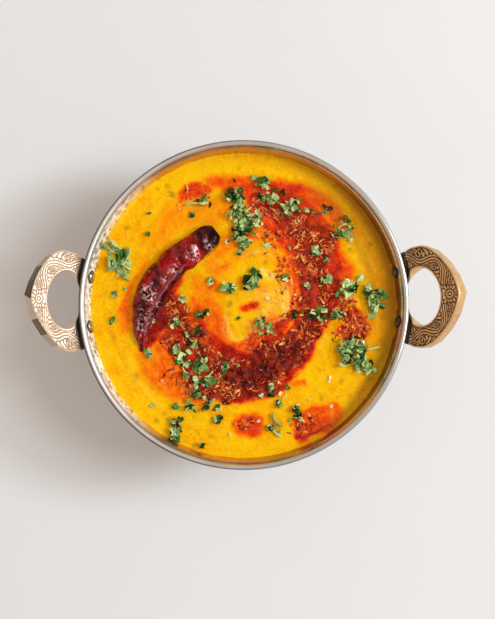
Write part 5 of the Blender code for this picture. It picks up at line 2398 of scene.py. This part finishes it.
@dataclass
class Studio:
    """A pale floor, a soft key light from the right, a pale surround and the camera overhead.

    The key's parts are (width in metres, elevation in degrees, power in watts).
    """

    look_at: Triple = (1.85 * MM, -2.9 * MM, 55.0 * MM)
    distance: float = 0.6
    elevation: float = 87.0
    view_height: float = 310.0571 * MM
    sensor: float = 36.0
    floor_size: float = 6.0
    key_distance: float = 2.2
    key_azimuth: float = 9.0
    key_parts: tuple[Triple, ...] = ((1.2, 45.0, 24.0), (0.45, 33.0, 15.5))
    key_colour: Colour = (0.88, 1.0, 1.1)
    key_aim: Triple = (0.0, 0.0, 20.0 * MM)
    surround_colour: Colour = (1.0, 0.88, 0.79)
    surround_strengths: Pair = (0.58, 0.6)

    def camera(self) -> None:
        """Puts the camera over the bowl, nearly straight down."""
        data = bpy.data.cameras.new("camera")
        data.sensor_width = self.sensor
        data.lens = self.sensor * self.distance / self.view_height
        obj = linked("camera", data)
        up = math.radians(self.elevation)
        obj.location = Vector(self.look_at) + self.distance * Vector((0.0, -math.cos(up), math.sin(up)))
        obj.rotation_euler = (math.pi / 2 - up, 0.0, 0.0)
        bpy.context.scene.camera = obj

    def floor(self, groups: SharedGroups) -> None:
        """The pale floor under the bowl.

        Args:
            groups: The shader groups that all finishes share.
        """
        obj = as_object("floor", flat_grid(1, 1, self.floor_size / 2)[0])
        obj.data.materials.append(PaleFloor().material(groups))

    def lights(self) -> None:
        """The soft key from the right: a wide face, and a brighter part lower down in it."""
        azimuth, aim = math.radians(self.key_azimuth), Vector(self.key_aim)
        for size, elevation, power in self.key_parts:
            data = bpy.data.lights.new("key", "AREA")
            data.shape, data.size, data.energy, data.color = "DISK", size, power, self.key_colour
            obj = linked("key", data)
            up = math.radians(elevation)
            level = Vector((math.cos(azimuth), math.sin(azimuth), 0.0)) * math.cos(up)
            obj.location = self.key_distance * (level + Vector((0.0, 0.0, math.sin(up))))
            obj.rotation_euler = (aim - obj.location).to_track_quat("-Z", "Y").to_euler()

    def world(self) -> None:
        """A pale surround of nearly even light, a little brighter overhead."""
        world = bpy.data.worlds.new("surround")
        world.use_nodes = True
        tree = Tree(world.node_tree)
        height = tree.add("SeparateXYZ", {0: tree.add("TexCoord").outputs["Generated"]}).outputs["Z"]
        strength = tree.span(height, 0.3, 0.9, *self.surround_strengths)
        colour = (*self.surround_colour, 1.0)
        tree.wire(world.node_tree.nodes["Background"], {"Color": colour, "Strength": strength})
        bpy.context.scene.world = world
        bpy.context.scene.view_settings.view_transform = "Standard"

    def build(self, groups: SharedGroups) -> None:
        """Sets the whole studio up.

        Args:
            groups: The shader groups that all finishes share.
        """
        self.camera()
        self.floor(groups)
        self.lights()
        self.world()


# ---------------------------------------------------------------- putting it together


def handles() -> list[Handle]:
    """Both handles: each was fitted by hand, so each is a little crooked in its own way.

    Returns:
        The two handles.
    """
    dark_brass = CastBrass("cast_brass_dark", srgb(252, 210, 154), srgb(220, 168, 114), srgb(88, 52, 26))
    pale_brass = CastBrass(
        "cast_brass_pale",
        srgb(250, 232, 210),
        srgb(234, 208, 180),
        srgb(150, 114, 86),
        dirt_from=(0.5, 1.05),
        polish=(0.5, 0.66),
    )
    right = Handle(
        name="brass_handle_right",
        node="handle_right",
        side=Side.RIGHT,
        finish=dark_brass,
        reach=16.3 * MM,
        lean_degrees=2.3,
        tilt_degrees=42.0,
        twist_degrees=1.7,
        skew=0.02,
        point_shift=1.0 * MM,
    )
    left = Handle(
        name="brass_handle_left",
        node="handle_left",
        side=Side.LEFT,
        finish=pale_brass,
        reach=15.7 * MM,
        lean_degrees=-0.8,
        tilt_degrees=35.5,
        twist_degrees=5.1,
        skew=0.1,
        point_shift=3.0 * MM,
        gap_shift=0.8 * MM,
        back_facet_shade=(0.95, 0.9, 0.5, 0.15, 0.1, 0.2),
        front_facet_shade=(0.25, 0.85, 0.4, 0.1, 0.1, 0.2),
    )
    return [right, left]


def rivets() -> list[Rivet]:
    """The four rivets that hold the handles."""
    azimuths = {"right_back": 11.9, "right_front": -6.4, "left_back": 169.9, "left_front": 188.3}
    return [Rivet("rivet_head_" + at, "rivet_" + at, math.radians(turn)) for at, turn in azimuths.items()]


def main() -> None:
    """Builds every piece in order."""
    logging.basicConfig(level=logging.INFO, format="%(name)s: %(message)s")
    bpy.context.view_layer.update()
    groups = SharedGroups()
    bowl, dal = Karahi(), Dal()
    Studio().build(groups)
    pieces = [bowl.dress(groups)]
    pieces += [handle.dress(groups, bowl) for handle in handles()]
    clean_rivet = PolishedRivet().material(groups)
    # painted shade: the rivets on the shaded right wall get a darker copy of the finish
    oily_and_shaded = PolishedRivet("shaded_rivet", srgb(150, 138, 122), srgb(40, 30, 20), srgb(24, 16, 12), (0.72, 0.98))
    shaded_rivet = oily_and_shaded.material(groups)
    pieces += [rivet.dress(shaded_rivet if "right" in rivet.name else clean_rivet, bowl) for rivet in rivets()]
    pieces.append(dal.dress(groups, bowl))
    pieces.append(Chilli().dress(groups))
    pieces += Tempering().dress(groups, dal)
    pieces += Coriander().dress(groups, dal)
    pieces.append(Garlic().dress(groups, dal))
    for piece in pieces:
        LOG.info("%s: %d faces", piece.name, len(piece.data.polygons))


if __name__ == "__main__":
    main()
